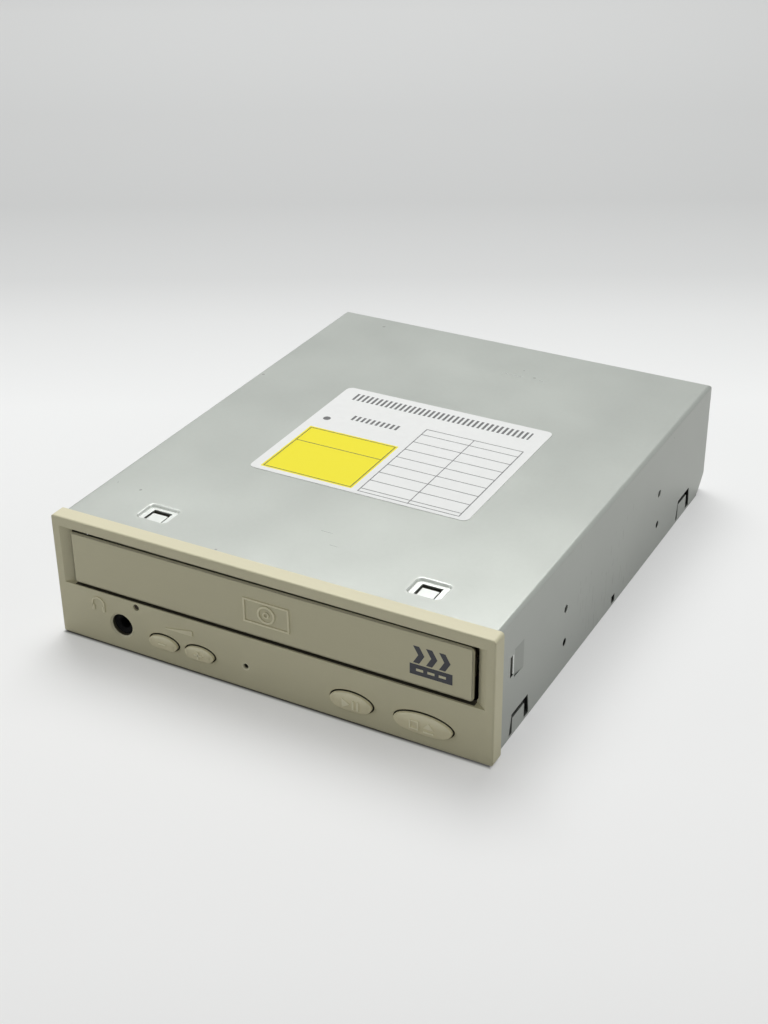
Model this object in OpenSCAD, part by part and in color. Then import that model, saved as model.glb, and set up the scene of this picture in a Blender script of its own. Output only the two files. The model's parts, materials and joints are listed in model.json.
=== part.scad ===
// Half-height optical disc drive with a sliding tray, in millimetres.
// Heights count from the underside, depths from the rear plane of the bezel, which is the plane
// that meets a computer case. place() then centres the drive on its footprint.

/* [Case] */
// Width across the steel case
body_w = 146; // [144:0.5:147]
// Height of the steel case
body_h = 41.4; // [41:0.1:42]
// Depth of the steel case behind the bezel
body_d = 175; // [174:1:200]
// Thickness of the steel sheet
sheet_t = 0.8; // [0.6:0.1:1]
// Outer radius of the bends in the sheet
bend_r = 1.4; // [1.2:0.1:2]
// Gap between the bottom cover and the lower edge of the side walls
side_gap = 0.4; // [0.2:0.1:0.8]
// Height at which the rear flap of the top cover ends
flap_z = 15.6; // [15.2:0.1:18]
// Depth of the latch pockets in the top
pocket_depth = 0.9; // [0.6:0.1:1.2]
// Distance of each latch pocket from the middle
pocket_x = 46; // [30:1:56]
// Width of a latch pocket
pocket_w = 10.4; // [9:0.2:14]
// Length of a latch pocket
pocket_len = 8.4; // [7.4:0.2:12]
// Distance of the latch pockets behind the bezel
pocket_y = 6.8; // [5:0.2:9]
// Depth of the drawn side latches
louver_depth = 0.6; // [0.4:0.1:1.3]
// Height of the middle of the side latches
louver_z = 25; // [22:0.5:27]
// Radius of the cover screws
cover_screw_r = 1.4; // [1.2:0.1:1.6]

/* [Bezel] */
// Distance that the bezel stands out beside the case
bezel_side = 1.3; // [1:0.1:3]
// Distance that the bezel stands out above the case
bezel_rise = 0.6; // [0.2:0.1:1.6]
// Depth of the bezel
bezel_t = 5.3; // [5:0.1:6.5]
// Thickness of the front wall of the bezel
bezel_wall = 3; // [2.6:0.1:3.4]
// Thickness of the rim round the bezel
bezel_rim = 2.4; // [1.6:0.1:2.6]
// Radius of the four outer corners of the bezel
bezel_corner = 1.2; // [0.8:0.1:3]
// Radius of the front edges of the bezel
bezel_edge = 0.6; // [0.4:0.1:1.5]
// Width of the sloped surround beside the tray front
surround_w = 3.1; // [2:0.1:3.6]
// Depth of the sloped surround
surround_depth = 2.2; // [1.5:0.1:2.4]
// Thickness of the latch arms
arm_t = 1.4; // [1:0.1:1.6]

/* [Tray front] */
// Width of the bezel beside the tray front
front_side = 6.5; // [6.3:0.1:7.3]
// Height of the lower edge of the tray front
front_low = 19.75; // [19.5:0.05:20]
// Height of the bezel above the tray front
front_band = 4.45; // [4:0.05:5]
// Thickness of the tray front
front_t = 2.4; // [2:0.1:2.8]
// Distance of the tray front behind the face of the bezel
front_inset = 0.2; // [0:0.1:0.5]
// Gap beside the tray front
front_gap = 0.6; // [0.3:0.05:0.9]
// Gap above and below the tray front
front_gap_z = 1.05; // [0.5:0.05:1.2]

/* [Buttons] */
// Height of the row of buttons
button_z = 7.5; // [7:0.1:8.5]
// Width of each volume button
volume_w = 10.3; // [8:0.1:12]
// Height of each volume button
volume_h = 4.9; // [4:0.1:6]
// Place of the volume down button
volume_down_x = -35.4; // [-36:0.1:-35]
// Place of the volume up button
volume_up_x = -22.4; // [-23:0.1:-18]
// Width of the play button
play_w = 13.7; // [10:0.1:16]
// Height of the play button
play_h = 6.3; // [5:0.1:7]
// Place of the play button
play_x = 29.6; // [26:0.1:34]
// Width of the eject button
eject_w = 18.5; // [14:0.1:20]
// Height of the eject button
eject_h = 6.8; // [5.5:0.1:7.4]
// Place of the eject button
eject_x = 52.7; // [50:0.1:55]
// Distance that a button stands out from the bezel
button_proud = 1.6; // [0.8:0.1:2]
// Travel of a button
button_travel = 0.6; // [0.3:0.1:0.8]
// Gap round a button
button_gap = 0.45; // [0.25:0.05:0.5]

/* [Front sockets] */
// Place of the headphone socket
jack_x = -51.3; // [-53:0.1:-50]
// Height of the headphone socket
jack_z = 8.6; // [8.2:0.1:9.4]
// Radius of the nose of the headphone socket
jack_r = 3.4; // [3:0.1:3.8]
// Radius of the bore for the headphone plug
jack_bore_r = 1.8; // [1.76:0.01:1.85]
// Depth of the bore for the headphone plug
jack_depth = 13; // [11:0.5:14]
// Place of the activity lamp
lamp_x = -45.1; // [-47:0.1:-42]
// Height of the activity lamp
lamp_z = 17; // [16.4:0.1:17.2]
// Radius of the activity lamp
lamp_r = 0.9; // [0.8:0.05:1.2]
// Place of the emergency release hole
pinhole_x = -6.4; // [-9:0.1:-4]
// Radius of the emergency release hole
pinhole_r = 0.85; // [0.6:0.05:1]

/* [Mounting holes] */
// Distance of the first mounting holes behind the bezel
hole_front = 47.4; // [45:0.1:50]
// Distance between the front and rear mounting holes
hole_pitch = 79.25; // [78:0.05:80]
// Height of the lower side holes
hole_low = 10; // [9.6:0.1:10.5]
// Rise from the lower to the upper side holes
hole_rise = 11.84; // [11:0.02:12]
// Distance of the bottom holes from the sides of the case
bottom_hole_side = 3.15; // [3:0.05:3.5]
// Radius of the tapped mounting holes
hole_r = 1.25; // [1.2:0.05:1.4]

/* [Disc tray] */
// Radius of the disc
disc_r = 60; // [59:0.5:60.5]
// Distance of the disc's centre behind the bezel
disc_y = 66; // [65:0.5:67]
// Gap round the disc in its well
well_gap = 0.6; // [0.4:0.1:1]
// Depth of the disc's well
well_depth = 4.5; // [4:0.1:5]
// Thickness of the floor of the tray
tray_t = 2; // [1.6:0.1:2.2]
// Height of the tray's floor above the lower edge of the tray front
tray_rise = 5.25; // [5:0.05:5.5]
// Inset of the tray's sides from the ends of the tray front
tray_inset = 2.8; // [2.4:0.1:3]
// Space behind the tray in the case
tray_end_gap = 12; // [11:0.5:12.5]
// Travel of the tray
tray_travel = 130; // [120:1:131]
// Width of the runners on the tray's sides
rail_out = 1.5; // [1.2:0.1:1.8]
// Height of the runners
rail_h = 2; // [1.6:0.1:2.4]

/* [Loading gears] */
// Tooth size of the loading gears, pitch diameter over number of teeth
gear_m = 1; // [0.95:0.01:1.02]
// Number of teeth of the tray drive gear
drive_teeth = 28; // [26:2:28]
// Number of teeth of the pulley gear's pinion
pinion_teeth = 12; // [12:1:13]
// Distance of the loading gears behind the bezel
gear_y = 24; // [23:0.5:24]
// Place of the pitch line of the tray's rack
rack_x = -52; // [-54:0.5:-51]
// Thickness of the loading gears
gear_t = 2.2; // [1.8:0.1:2.4]
// Radius of the belt pulley on the pulley gear
pulley_r = 12; // [10:0.5:13]
// Radius of the pulley on the loading motor
motor_pulley_r = 3.2; // [3:0.1:4]
// Thickness of the belt pulleys
pulley_t = 3.8; // [3.4:0.1:4]
// Thickness of the drive belt
belt_t = 1.2; // [1:0.1:1.4]
// Place of the loading motor
motor_x = 16; // [15:0.5:22]
// Radius of the loading motor
load_motor_r = 12.2; // [10:0.2:12.4]
// Height of the loading motor
load_motor_h = 11; // [9:0.2:11.2]
// Radius of the gear posts
post_r = 1.5; // [1.2:0.1:1.8]

/* [Lift] */
// Angle by which the mechanism drops at rest
lift_angle = 4.5; // [4.2:0.1:4.7]
// Distance of the hinge behind the spindle
pivot_back = 86; // [84:1:88]
// Half width of the lift frame
lift_half_w = 46; // [45:0.5:46]
// Thickness of the side walls of the lift frame
lift_wall = 6; // [5:0.5:6]
// Radius of the hinge pins
pivot_r = 2; // [1.6:0.1:2.2]
// Travel of the slide cam
cam_travel = 16; // [14:0.5:18]
// Thickness of the slide cam
cam_t = 4.5; // [4:0.1:4.8]
// Radius of the lift frame's cam pins
cam_pin_r = 1.6; // [1.2:0.1:1.8]
// Distance of the cam pins from the middle
cam_pin_x = 16; // [14:0.5:18]

/* [Spindle and pickup] */
// Height of the turntable above the tray's floor when it is raised
clamp_rise = 1.7; // [1.4:0.1:2]
// Radius of the turntable
table_r = 15.5; // [14:0.5:16.5]
// Thickness of the turntable
table_t = 2.6; // [2.2:0.1:2.8]
// Radius of the turntable's hub
hub_r = 7.4; // [7.2:0.05:7.45]
// Height of the turntable's hub
hub_h = 1.9; // [1.5:0.1:2.2]
// Depth of the mechanism deck below the raised turntable
deck_drop = 10.5; // [10.3:0.1:11]
// Thickness of the mechanism deck
deck_t = 1.2; // [1:0.1:1.4]
// Half width of the mechanism deck
deck_half_w = 38; // [37:0.5:38.5]
// Radius of the spindle motor
spindle_motor_r = 12.3; // [11:0.1:12.6]
// Radius of the guide rods
rod_r = 1.5; // [1.2:0.1:1.6]
// Distance of the guide rods from the middle
rod_x = 21.5; // [21:0.1:22]
// Half width of the pickup sled
sled_half_w = 18.5; // [17:0.5:18.5]
// Length of the pickup sled
sled_len = 22; // [20:0.5:22]
// Travel of the pickup sled
sled_travel = 34; // [30:0.5:34.5]
// Distance of the lens from the spindle with the sled inwards
lens_in = 24; // [23:0.5:25]
// Tooth size of the sled gears
sled_m = 0.6; // [0.58:0.01:0.61]
// Number of teeth of the sled gear's pinion
sled_pinion_teeth = 14; // [13:1:14]
// Number of teeth of the sled gear
sled_gear_teeth = 24; // [22:1:24]
// Number of teeth of the sled motor's pinion
sled_motor_teeth = 10; // [10:1:11]
// Radius of the sled motor
sled_motor_r = 6; // [5:0.2:6.2]
// Height of the sled motor
sled_motor_h = 6; // [5:0.2:6.2]
// Radius of the motor shafts
shaft_r = 1; // [0.8:0.05:1.2]

/* [Disc clamp] */
// Distance of the clamp bridge below the top cover
bridge_drop = 5.1; // [4.6:0.1:5.6]
// Thickness of the clamp bridge
bridge_t = 1; // [0.8:0.1:1.2]
// Width of the clamp bridge
bridge_w = 24; // [20:1:30]
// Radius of the clamp puck
puck_r = 13.4; // [12.5:0.1:14]
// Radius of the flange of the clamp puck
puck_flange_r = 16; // [15.4:0.1:18]
// Radius of the steel yoke in the puck
yoke_r = 9; // [8.6:0.1:10]

/* [Boards] */
// Height of the main board
board_z = 2.8; // [2.6:0.1:3]
// Thickness of the main board
board_t = 1.6; // [1.2:0.1:1.6]
// Distance of the main board behind the bezel
board_front = 92; // [91:0.5:95]
// Gap between the main board and the side walls
board_side = 1.4; // [0.9:0.1:2.4]
// Height of the front board
front_board_z = 3; // [2.6:0.1:3.1]
// Thickness of the front board
front_board_t = 1.2; // [0.8:0.1:1.2]
// Depth of the front board
front_board_d = 10; // [9:0.2:10.4]

/* [Rear connectors] */
// Columns of pins in the data header
data_columns = 20; // [18:1:20]
// Distance between header pins
pin_pitch = 2.54; // [2.5:0.01:2.54]
// Width of a header pin
pin_w = 0.64; // [0.5:0.02:0.7]
// Distance between power pins
power_pitch = 5.08; // [5:0.01:5.1]
// Radius of a power pin
power_pin_r = 1.05; // [0.9:0.05:1.2]

/* [Clearances] */
// Gap between fixed pieces that are fitted together
fit_gap = 0.3; // [0.2:0.05:0.4]
// Gap of a sliding piece in its guide
slide_gap = 0.4; // [0.3:0.05:0.5]
// Radial clearance of a shaft or post in its bore
run_gap = 0.05; // [0.03:0.01:0.08]
// Backlash of meshed teeth
tooth_slack = 0.16; // [0.12:0.02:0.24]

/* [Hidden] */
$fn = 48;
// Pressure angle and the heights of a tooth above and below its pitch line, in tooth sizes
pressure = 25;
addendum = 0.85;
dedendum = 1.1;

// Case
side_edge = sheet_t + side_gap;
bottom_hole_w = body_w - 2 * bottom_hole_side;
case_x = body_w / 2 - sheet_t;
case_top = body_h - sheet_t;
frame_x = case_x - fit_gap;
pocket_top = body_h - pocket_depth;
pocket_floor = pocket_top - sheet_t;
tongue_y = pocket_y + 5.1;
slit_w = 1.9;
slit_side = 0.9;
lip_t = 0.6;
louver_h = 9.5;
louver_y = 7.6;
louver_slot = 2.8;
louver_end = louver_y + louver_slot + 6.3;
louver_slot_h = louver_h - 2.6;
screw_head_r = 2.9;
screw_head_h = 1.3;
dimple_r = screw_head_r + 2;
dimple_h = screw_head_h + 0.3;
dimple_top = dimple_h + sheet_t;
side_notches = [[9.6, 20.8, 8], [body_d - 27.2, body_d - 16, 8.4]];
notch_slope = 1.6;
tab_gap = 1;
tab_drop = 1.9;
hook_y = hole_front + hole_pitch / 2 - 0.7;
hook_w = 2.8;
hook_z = 3.9;
rear_cut = 5.6;
panel_w = 82;
panel_h = 0.6;
panel_corner = 8;

// Bezel and tray front
bezel_w = body_w + 2 * bezel_side;
bezel_h = body_h + bezel_rise;
bezel_back = bezel_t - bezel_wall;
front_w = bezel_w - 2 * front_side;
front_h = bezel_h - front_band - front_low;
front_mid = front_low + front_h / 2;
front_face = -bezel_t + front_inset;
front_back = front_face + front_t;
front_corner = 1.6;
front_edge = 0.5;
front_lip = 1.1;
front_step = 1.8;
aperture_w = front_w + 2 * front_gap;
aperture_h = front_h + 2 * front_gap_z;
surround_x = aperture_w / 2 + surround_w;
crown_h = 0.9;
crown_w = 0.8;
crown_lead = 0.15;
arm_len = 16;
lamp_sink = 0.5;
jack_sink = 1.4;
socket_edge = 0.6;
arm_top = pocket_floor - fit_gap;
side_arm_x = case_x - louver_depth - 0.7;
hook_h = louver_slot_h - 0.8;

// Disc tray
tray_floor = front_low + tray_rise;
tray_under = tray_floor - tray_t;
tray_rim = tray_floor + well_depth;
tray_x = front_w / 2 - tray_inset;
tray_rear = body_d - tray_end_gap;
tray_wall = 1.6;
rail_x = tray_x + rail_out;
rail_z = tray_floor + 0.2;
well_r = disc_r + well_gap;
lane_x = puck_r + 2;
lane_z = tray_floor + 2.2;
window_x = rod_x - 1.5;
window_len = lens_in + sled_travel + 5;

// Loading gears
drive_r = gear_m * drive_teeth / 2;
pinion_r = gear_m * pinion_teeth / 2;
drive_x = rack_x + drive_r;
pulley_x = drive_x + drive_r + pinion_r;
gear_top = tray_under - slide_gap;
gear_bottom = gear_top - gear_t;
pulley_top = gear_bottom - 1;
pulley_bottom = pulley_top - pulley_t;
loader_top = pulley_bottom - slide_gap;
loader_t = 2;
loader_bottom = loader_top - loader_t;
belt_z = (pulley_top + pulley_bottom) / 2;
belt_depth = 0.9;
belt_gap = 0.1;
rack_teeth = ceil((tray_travel + 12) / (PI * gear_m));
rack_back = 3.4;

// Mechanism, as it stands when raised
clamp_z = tray_floor + clamp_rise;
table_bottom = clamp_z - table_t - 0.4;
deck_top = clamp_z - deck_drop;
deck_bottom = deck_top - deck_t;
pivot_y = disc_y + pivot_back;
pivot_z = deck_bottom + 1;
deck_front = disc_y - 16;
deck_rear = pivot_y - 5;
lift_top = deck_top + 2.6;
lift_bottom = deck_bottom - 4;
lift_front = deck_front - 3;
lift_rear = pivot_y + 4;
ear_t = 1.6;
damper_at = [for (x = [-1, 1], y = [deck_front + 5, deck_rear - 4]) [x * (deck_half_w - 5), y]];
damper_r = 4;
damper_neck = 2.5;
damper_screw_r = 1.4;
motor_hole = spindle_motor_r + 0.6;
rod_z = deck_bottom - 2.2;
sled_y = disc_y + 17;
sled_bottom = rod_z - 2;
sled_top = deck_top + 4.3;
sled_cover_t = 1.9;
rod_tab = 1.2;
rod_front = sled_y - rod_tab - 0.8;
rod_rear = sled_y + sled_len + sled_travel + 1.4;
lens_y = disc_y + lens_in;
lens_r = 2.6;
lens_seat = 2.2;
lens_travel = 0.5;
sled_gear_z = deck_top + 0.8;
sled_gear_t = 2;
sled_rack_x = sled_half_w + 5.5;
sled_pinion_r = sled_m * sled_pinion_teeth / 2;
sled_gear_r = sled_m * sled_gear_teeth / 2;
sled_gear_x = sled_rack_x + sled_pinion_r;
sled_gear_y = sled_y + sled_len - 3;
sled_motor_pinion_r = sled_m * sled_motor_teeth / 2;
sled_turn = 70;
sled_reach = sled_gear_r + sled_motor_pinion_r;
sled_motor_x = sled_gear_x + sled_reach * cos(sled_turn);
sled_motor_y = sled_gear_y + sled_reach * sin(sled_turn);
sled_rack_teeth = ceil((sled_travel + 5) / (PI * sled_m));

// Slide cam: its slots carry the lift frame's pins from the dropped to the raised height
cam_rear = lift_front - 2.5;
cam_front = cam_rear - cam_t;
cam_pin_z = deck_bottom;
pin_reach = pivot_y - (cam_front + cam_rear) / 2;
cam_low = pivot_z - pin_reach * sin(lift_angle) + (cam_pin_z - pivot_z) * cos(lift_angle);
cam_slot_r = cam_pin_r + 0.5;
cam_bottom = cam_low - cam_slot_r - 1.1;
cam_top = cam_pin_z + cam_slot_r + 1.4;
cam_ends = [-cam_pin_x - cam_travel - 6, cam_pin_x + 6];
channel_x = max(-cam_ends[0], cam_ends[1] + cam_travel) + 4;
channel_t = 1.4;

// Loader frame
wall_in = tray_x + slide_gap;
groove_x = rail_x + slide_gap;
wall_front = 3;
wall_rear = body_d - sheet_t - 3;
wall_bottom = sheet_t + fit_gap;
wall_top = tray_rim + 1.5;
floor_z = board_z + board_t + 5.6;
floor_t = 2;
opening_x = lift_half_w + 2;
opening_rear = lift_rear + 1.5;
bearing_w = 5;
boss_r = 4;
cover_screw_x = wall_in - 7.4;
cover_screws_at = [for (x = [-1, 1], y = [22, opening_rear - 7.5]) [x * cover_screw_x, y]];
hole_clear_r = 2;
hole_clear_len = 5;
bridge_post = 14;
peg_at = [for (x = [-1, 1], y = [-8, 8]) [x * (frame_x - 2.6), disc_y + y]];
peg_r = 1.4;

// Disc clamp
bridge_z = case_top - bridge_drop;
puck_bottom = clamp_z + 1.5;
puck_flange_z = bridge_z + bridge_t + fit_gap;
puck_top = puck_flange_z + 1.2;
yoke_t = 1.2;
bridge_hole = puck_r + 0.8;

// Boards and connectors
board_top = board_z + board_t;
board_rear = body_d - sheet_t - 0.8;
board_half_w = wall_in - board_side;
board_screw_x = opening_x + 6;
board_screws_at = [for (x = [-1, 1], y = [8, 44]) [x * board_screw_x, board_front + y]];
board_screw_r = 1.2;
mouth_y = body_d - 0.3;
front_board_x = wall_in - 3.9;
front_board_top = front_board_z + front_board_t;
switch_face = 4.6;
data_w = data_columns * pin_pitch + 7;
data_h = 9;
data_base = mouth_y - 9.5;
power_w = 23;
power_h = 10;
power_base = mouth_y - 14;
audio_pins_n = 4;
digital_pins_n = 2;
audio_h = 6.4;
audio_base = mouth_y - 9;
jumper_columns = 3;
jumper_w = jumper_columns * pin_pitch;
jumper_base = mouth_y - 8;
data_z = board_top + data_h / 2;
power_z = board_top + power_h / 2;
audio_z = board_top + audio_h / 2;
jumper_z = board_top + 3.2;
window_gap = 0.5;
row_widths = [power_w, data_w, jumper_w, audio_width(audio_pins_n), audio_width(digital_pins_n)];
row_gap = (2 * board_half_w - total(row_widths, len(row_widths))) / (len(row_widths) + 1);
power_x = row_x(0);
data_x = row_x(1);
jumper_x = row_x(2);
audio_x = row_x(3);
digital_x = row_x(4);

// The drive is centred on its footprint, from the buttons' faces to the rear of the case
mid_y = (body_d - bezel_t - button_proud) / 2;

steel = "#c6cbc4";
beige = "#d8cfb2";
black = "#262626";
white_plastic = "#dedcd2";
grey_plastic = "#3a3b3d";
brass = "#c9a64a";
board_green = "#2f6b45";

// The piece that is drawn, or all

function arc(x, y, r, from, to, n = 6) =
    [for (i = [0 : n]) let(a = from + (to - from) * i / n) [x + r * cos(a), y + r * sin(a)]];

function ellipse(w, h, n = 48) = [for (i = [0 : n - 1]) [w / 2 * cos(360 * i / n), h / 2 * sin(360 * i / n)]];

// Radius of a crown that falls by drop at half its width
function crown_radius(half, drop) = (half * half + drop * drop) / 2 / drop;

// Sum of the first n values, and the middle of a connector in the evenly spaced row
function total(values, n) = n == 0 ? 0 : values[n - 1] + total(values, n - 1);
function row_x(i) = (i + 1) * row_gap + total(row_widths, i) + row_widths[i] / 2 - board_half_w;

function polar(r, a) = [r * cos(a), r * sin(a)];

// Involute function in degrees, and half the angle that a tooth takes at radius q
function involute(a) = tan(a) * 180 / PI - a;
function tooth_half(r, teeth, q) =
    90 / teeth - tooth_slack / 4 / r * 180 / PI + involute(pressure)
    - involute(acos(min(1, r * cos(pressure) / q)));

function gear_outline(m, teeth, phase, steps = 4) =
    let(r = m * teeth / 2,
        tip = r + addendum * m,
        root = r - dedendum * m,
        base = max(root, r * cos(pressure)))
    [for (i = [0 : teeth - 1])
        let(mid = phase + 360 * i / teeth)
        each concat(
            [polar(root, mid - tooth_half(r, teeth, base))],
            [for (k = [0 : steps]) let(q = base + (tip - base) * k / steps)
                polar(q, mid - tooth_half(r, teeth, q))],
            [for (k = [steps : -1 : 0]) let(q = base + (tip - base) * k / steps)
                polar(q, mid + tooth_half(r, teeth, q))],
            [polar(root, mid + tooth_half(r, teeth, base))])];

// Rack along y with its teeth towards +x and a gap of the teeth at y = 0
function rack_outline(m, first, last, back) =
    let(pitch = PI * m,
        half = pitch / 4 - tooth_slack / 4,
        tip = half - addendum * m * tan(pressure),
        root = half + dedendum * m * tan(pressure))
    concat(
        [[-back, (first - 0.5) * pitch], [-dedendum * m, (first - 0.5) * pitch]],
        [for (i = [first : last]) let(y = (i + 0.5) * pitch)
            each [[-dedendum * m, y - root], [addendum * m, y - tip],
                [addendum * m, y + tip], [-dedendum * m, y + root]]],
        [[-dedendum * m, (last + 1.5) * pitch], [-back, (last + 1.5) * pitch]]);

// Closed loop of a belt round two pulleys, at radius ra round the first and rb round the second
function belt_loop(xa, ra, xb, rb) =
    let(lean = acos((ra - rb) / (xb - xa)))
    concat(arc(xa, 0, ra, lean, 360 - lean, 40), arc(xb, 0, rb, -lean, lean, 24));

module place() {
    translate([0, -mid_y, 0]) children();
}

// The mechanism hangs from its hinge with its front dropped
module lowered() {
    translate([0, pivot_y, pivot_z]) rotate([lift_angle, 0, 0]) translate([0, -pivot_y, -pivot_z]) children();
}

module block(x, y, z) {
    translate([x[0], y[0], z[0]]) cube([x[1] - x[0], y[1] - y[0], z[1] - z[0]]);
}

module bar_z(x, y, r, z) {
    translate([x, y, z[0]]) cylinder(h = z[1] - z[0], r = r);
}

module bar_y(x, z, r, y) {
    translate([x, y[1], z]) rotate([90, 0, 0]) cylinder(h = y[1] - y[0], r = r);
}

module bar_x(y, z, r, x) {
    translate([x[0], y, z]) rotate([0, 90, 0]) cylinder(h = x[1] - x[0], r = r);
}

// A flat outline drawn in x and z, run from y0 to y1
module along_y(y0, y1) {
    translate([0, y1, 0]) rotate([90, 0, 0]) linear_extrude(y1 - y0) children();
}

// A flat outline drawn in y and z, run from x0 to x1
module along_x(x0, x1) {
    translate([x0, 0, 0]) rotate([90, 0, 90]) linear_extrude(x1 - x0) children();
}

module along_z(z0, z1) {
    translate([0, 0, z0]) linear_extrude(z1 - z0) children();
}

module round_rect(w, h, r) {
    square([w - 2 * r, h], center = true);
    square([w, h - 2 * r], center = true);
    for (x = [-1, 1], y = [-1, 1])
        translate([x * (w / 2 - r), y * (h / 2 - r)]) circle(r);
}

// Moulded front plate with rounded corners and rounded front edges
module face_plate(w, h, mid, front, back, corner, edge) {
    intersection() {
        along_y(front, back) translate([0, mid]) round_rect(w, h, corner);
        along_x(-w / 2, w / 2) translate([front, mid]) polygon(concat(
            arc(edge, h / 2 - edge, edge, 90, 180), arc(edge, edge - h / 2, edge, 180, 270),
            [[back - front, -h / 2], [back - front, h / 2]]));
        along_z(mid - h / 2, mid + h / 2) translate([0, front]) polygon(concat(
            arc(edge - w / 2, edge, edge, 180, 270), arc(w / 2 - edge, edge, edge, 270, 360),
            [[w / 2, back - front], [-w / 2, back - front]]));
    }
}

// Outer or inner form of the folded cover: bends along both sides and the rear
module cover_form(inset, low, front) {
    w = body_w - 2 * inset;
    h = body_h - inset;
    d = body_d - inset;
    r = bend_r - inset;
    intersection() {
        along_y(front, d) polygon(concat([[w / 2, low]], arc(w / 2 - r, h - r, r, 0, 90),
            arc(r - w / 2, h - r, r, 90, 180), [[-w / 2, low]]));
        along_x(-w / 2, w / 2) polygon(concat([[front, low], [d, low]],
            arc(d - r, h - r, r, 0, 90), [[front, h]]));
    }
}

module side_holes(x, r) {
    for (y = [hole_front, hole_front + hole_pitch], z = [hole_low, hole_low + hole_rise])
        bar_x(y, z, r, x);
}

module bottom_holes(r, z) {
    for (x = [-1, 1], y = [hole_front, hole_front + hole_pitch])
        bar_z(x * bottom_hole_w / 2, y, r, z);
}

// Drawn pocket in the top with a tongue, free at its rear and sides, whose lip holds the bezel's arm
module latch_pan() {
    translate([0, pocket_y + pocket_len / 2, 0])
        along_z(pocket_floor, case_top + sheet_t / 2)
            round_rect(pocket_w + 1.4, pocket_len + 1.4, 1.9);
    block([-2.3, 2.6], [tongue_y - lip_t, tongue_y], [pocket_floor - 0.9, pocket_floor + 0.1]);
}

module latch_pan_cut() {
    translate([0, pocket_y + pocket_len / 2, 0])
        along_z(pocket_top, body_h + 1) round_rect(pocket_w, pocket_len, 1.4);
    along_z(pocket_floor - 1, pocket_top + 0.1) difference() {
        translate([-2.5 - slit_side, pocket_y + 1.2])
            square([5.6 + slit_side, tongue_y - pocket_y - 1.2 + slit_w]);
        translate([-2.5, pocket_y + 1]) square([5.3, tongue_y - pocket_y - 1]);
    }
}

// Side latch: a slot near the bezel with the sheet behind it drawn inwards as a ramp
module louver_body() {
    slot_end = louver_y + louver_slot;
    along_z(louver_z - louver_h / 2 - sheet_t, louver_z + louver_h / 2 + sheet_t)
        polygon([[case_x + sheet_t / 2, slot_end], [case_x + sheet_t / 2, louver_end + 1],
            [case_x, louver_end + 1], [case_x - louver_depth, slot_end]]);
}

module louver_cut() {
    slot_end = louver_y + louver_slot;
    outer = body_w / 2;
    along_z(louver_z - louver_h / 2, louver_z + louver_h / 2)
        polygon([[outer + 1, slot_end - 0.1], [outer + 1, louver_end], [outer, louver_end],
            [outer - louver_depth, slot_end], [outer - louver_depth, slot_end - 0.1]]);
    block([case_x - louver_depth - 1, outer + 1], [louver_y, slot_end],
        [louver_z - louver_slot_h / 2, louver_z + louver_slot_h / 2]);
}

module side_notch(y0, y1, top) {
    polygon([[y0 - notch_slope, side_edge - 2], [y0 - notch_slope, side_edge], [y0, top], [y1, top],
        [y1 + notch_slope / 2, side_edge], [y1 + notch_slope / 2, side_edge - 2]]);
}

module top_cover() {
    color(steel) difference() {
        union() {
            difference() {
                cover_form(0, side_edge, 0);
                cover_form(sheet_t, side_edge - 1, -1);
            }
            for (x = [-pocket_x, pocket_x])
                translate([x, 0, 0]) latch_pan();
            for (s = [0, 1])
                mirror([s, 0, 0]) louver_body();
        }
        for (x = [-pocket_x, pocket_x])
            translate([x, 0, 0]) latch_pan_cut();
        for (s = [0, 1])
            mirror([s, 0, 0]) louver_cut();
        block([-case_x, case_x], [body_d - sheet_t - 1, body_d + 1], [0, flap_z]);
        along_x(-body_w / 2 - 1, body_w / 2 + 1) {
            for (n = side_notches)
                side_notch(n[0], n[1], n[2]);
            translate([hook_y, 0]) square([hook_w, hook_z]);
            polygon([[body_d - rear_cut, side_edge - 1], [body_d - rear_cut, side_edge],
                [body_d, side_edge + rear_cut], [body_d + 1, side_edge + rear_cut],
                [body_d + 1, side_edge - 1]]);
        }
        for (x = [[-body_w / 2 - 1, -case_x + 1], [case_x - 1, body_w / 2 + 1]])
            side_holes(x, hole_r);
    }
}

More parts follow.
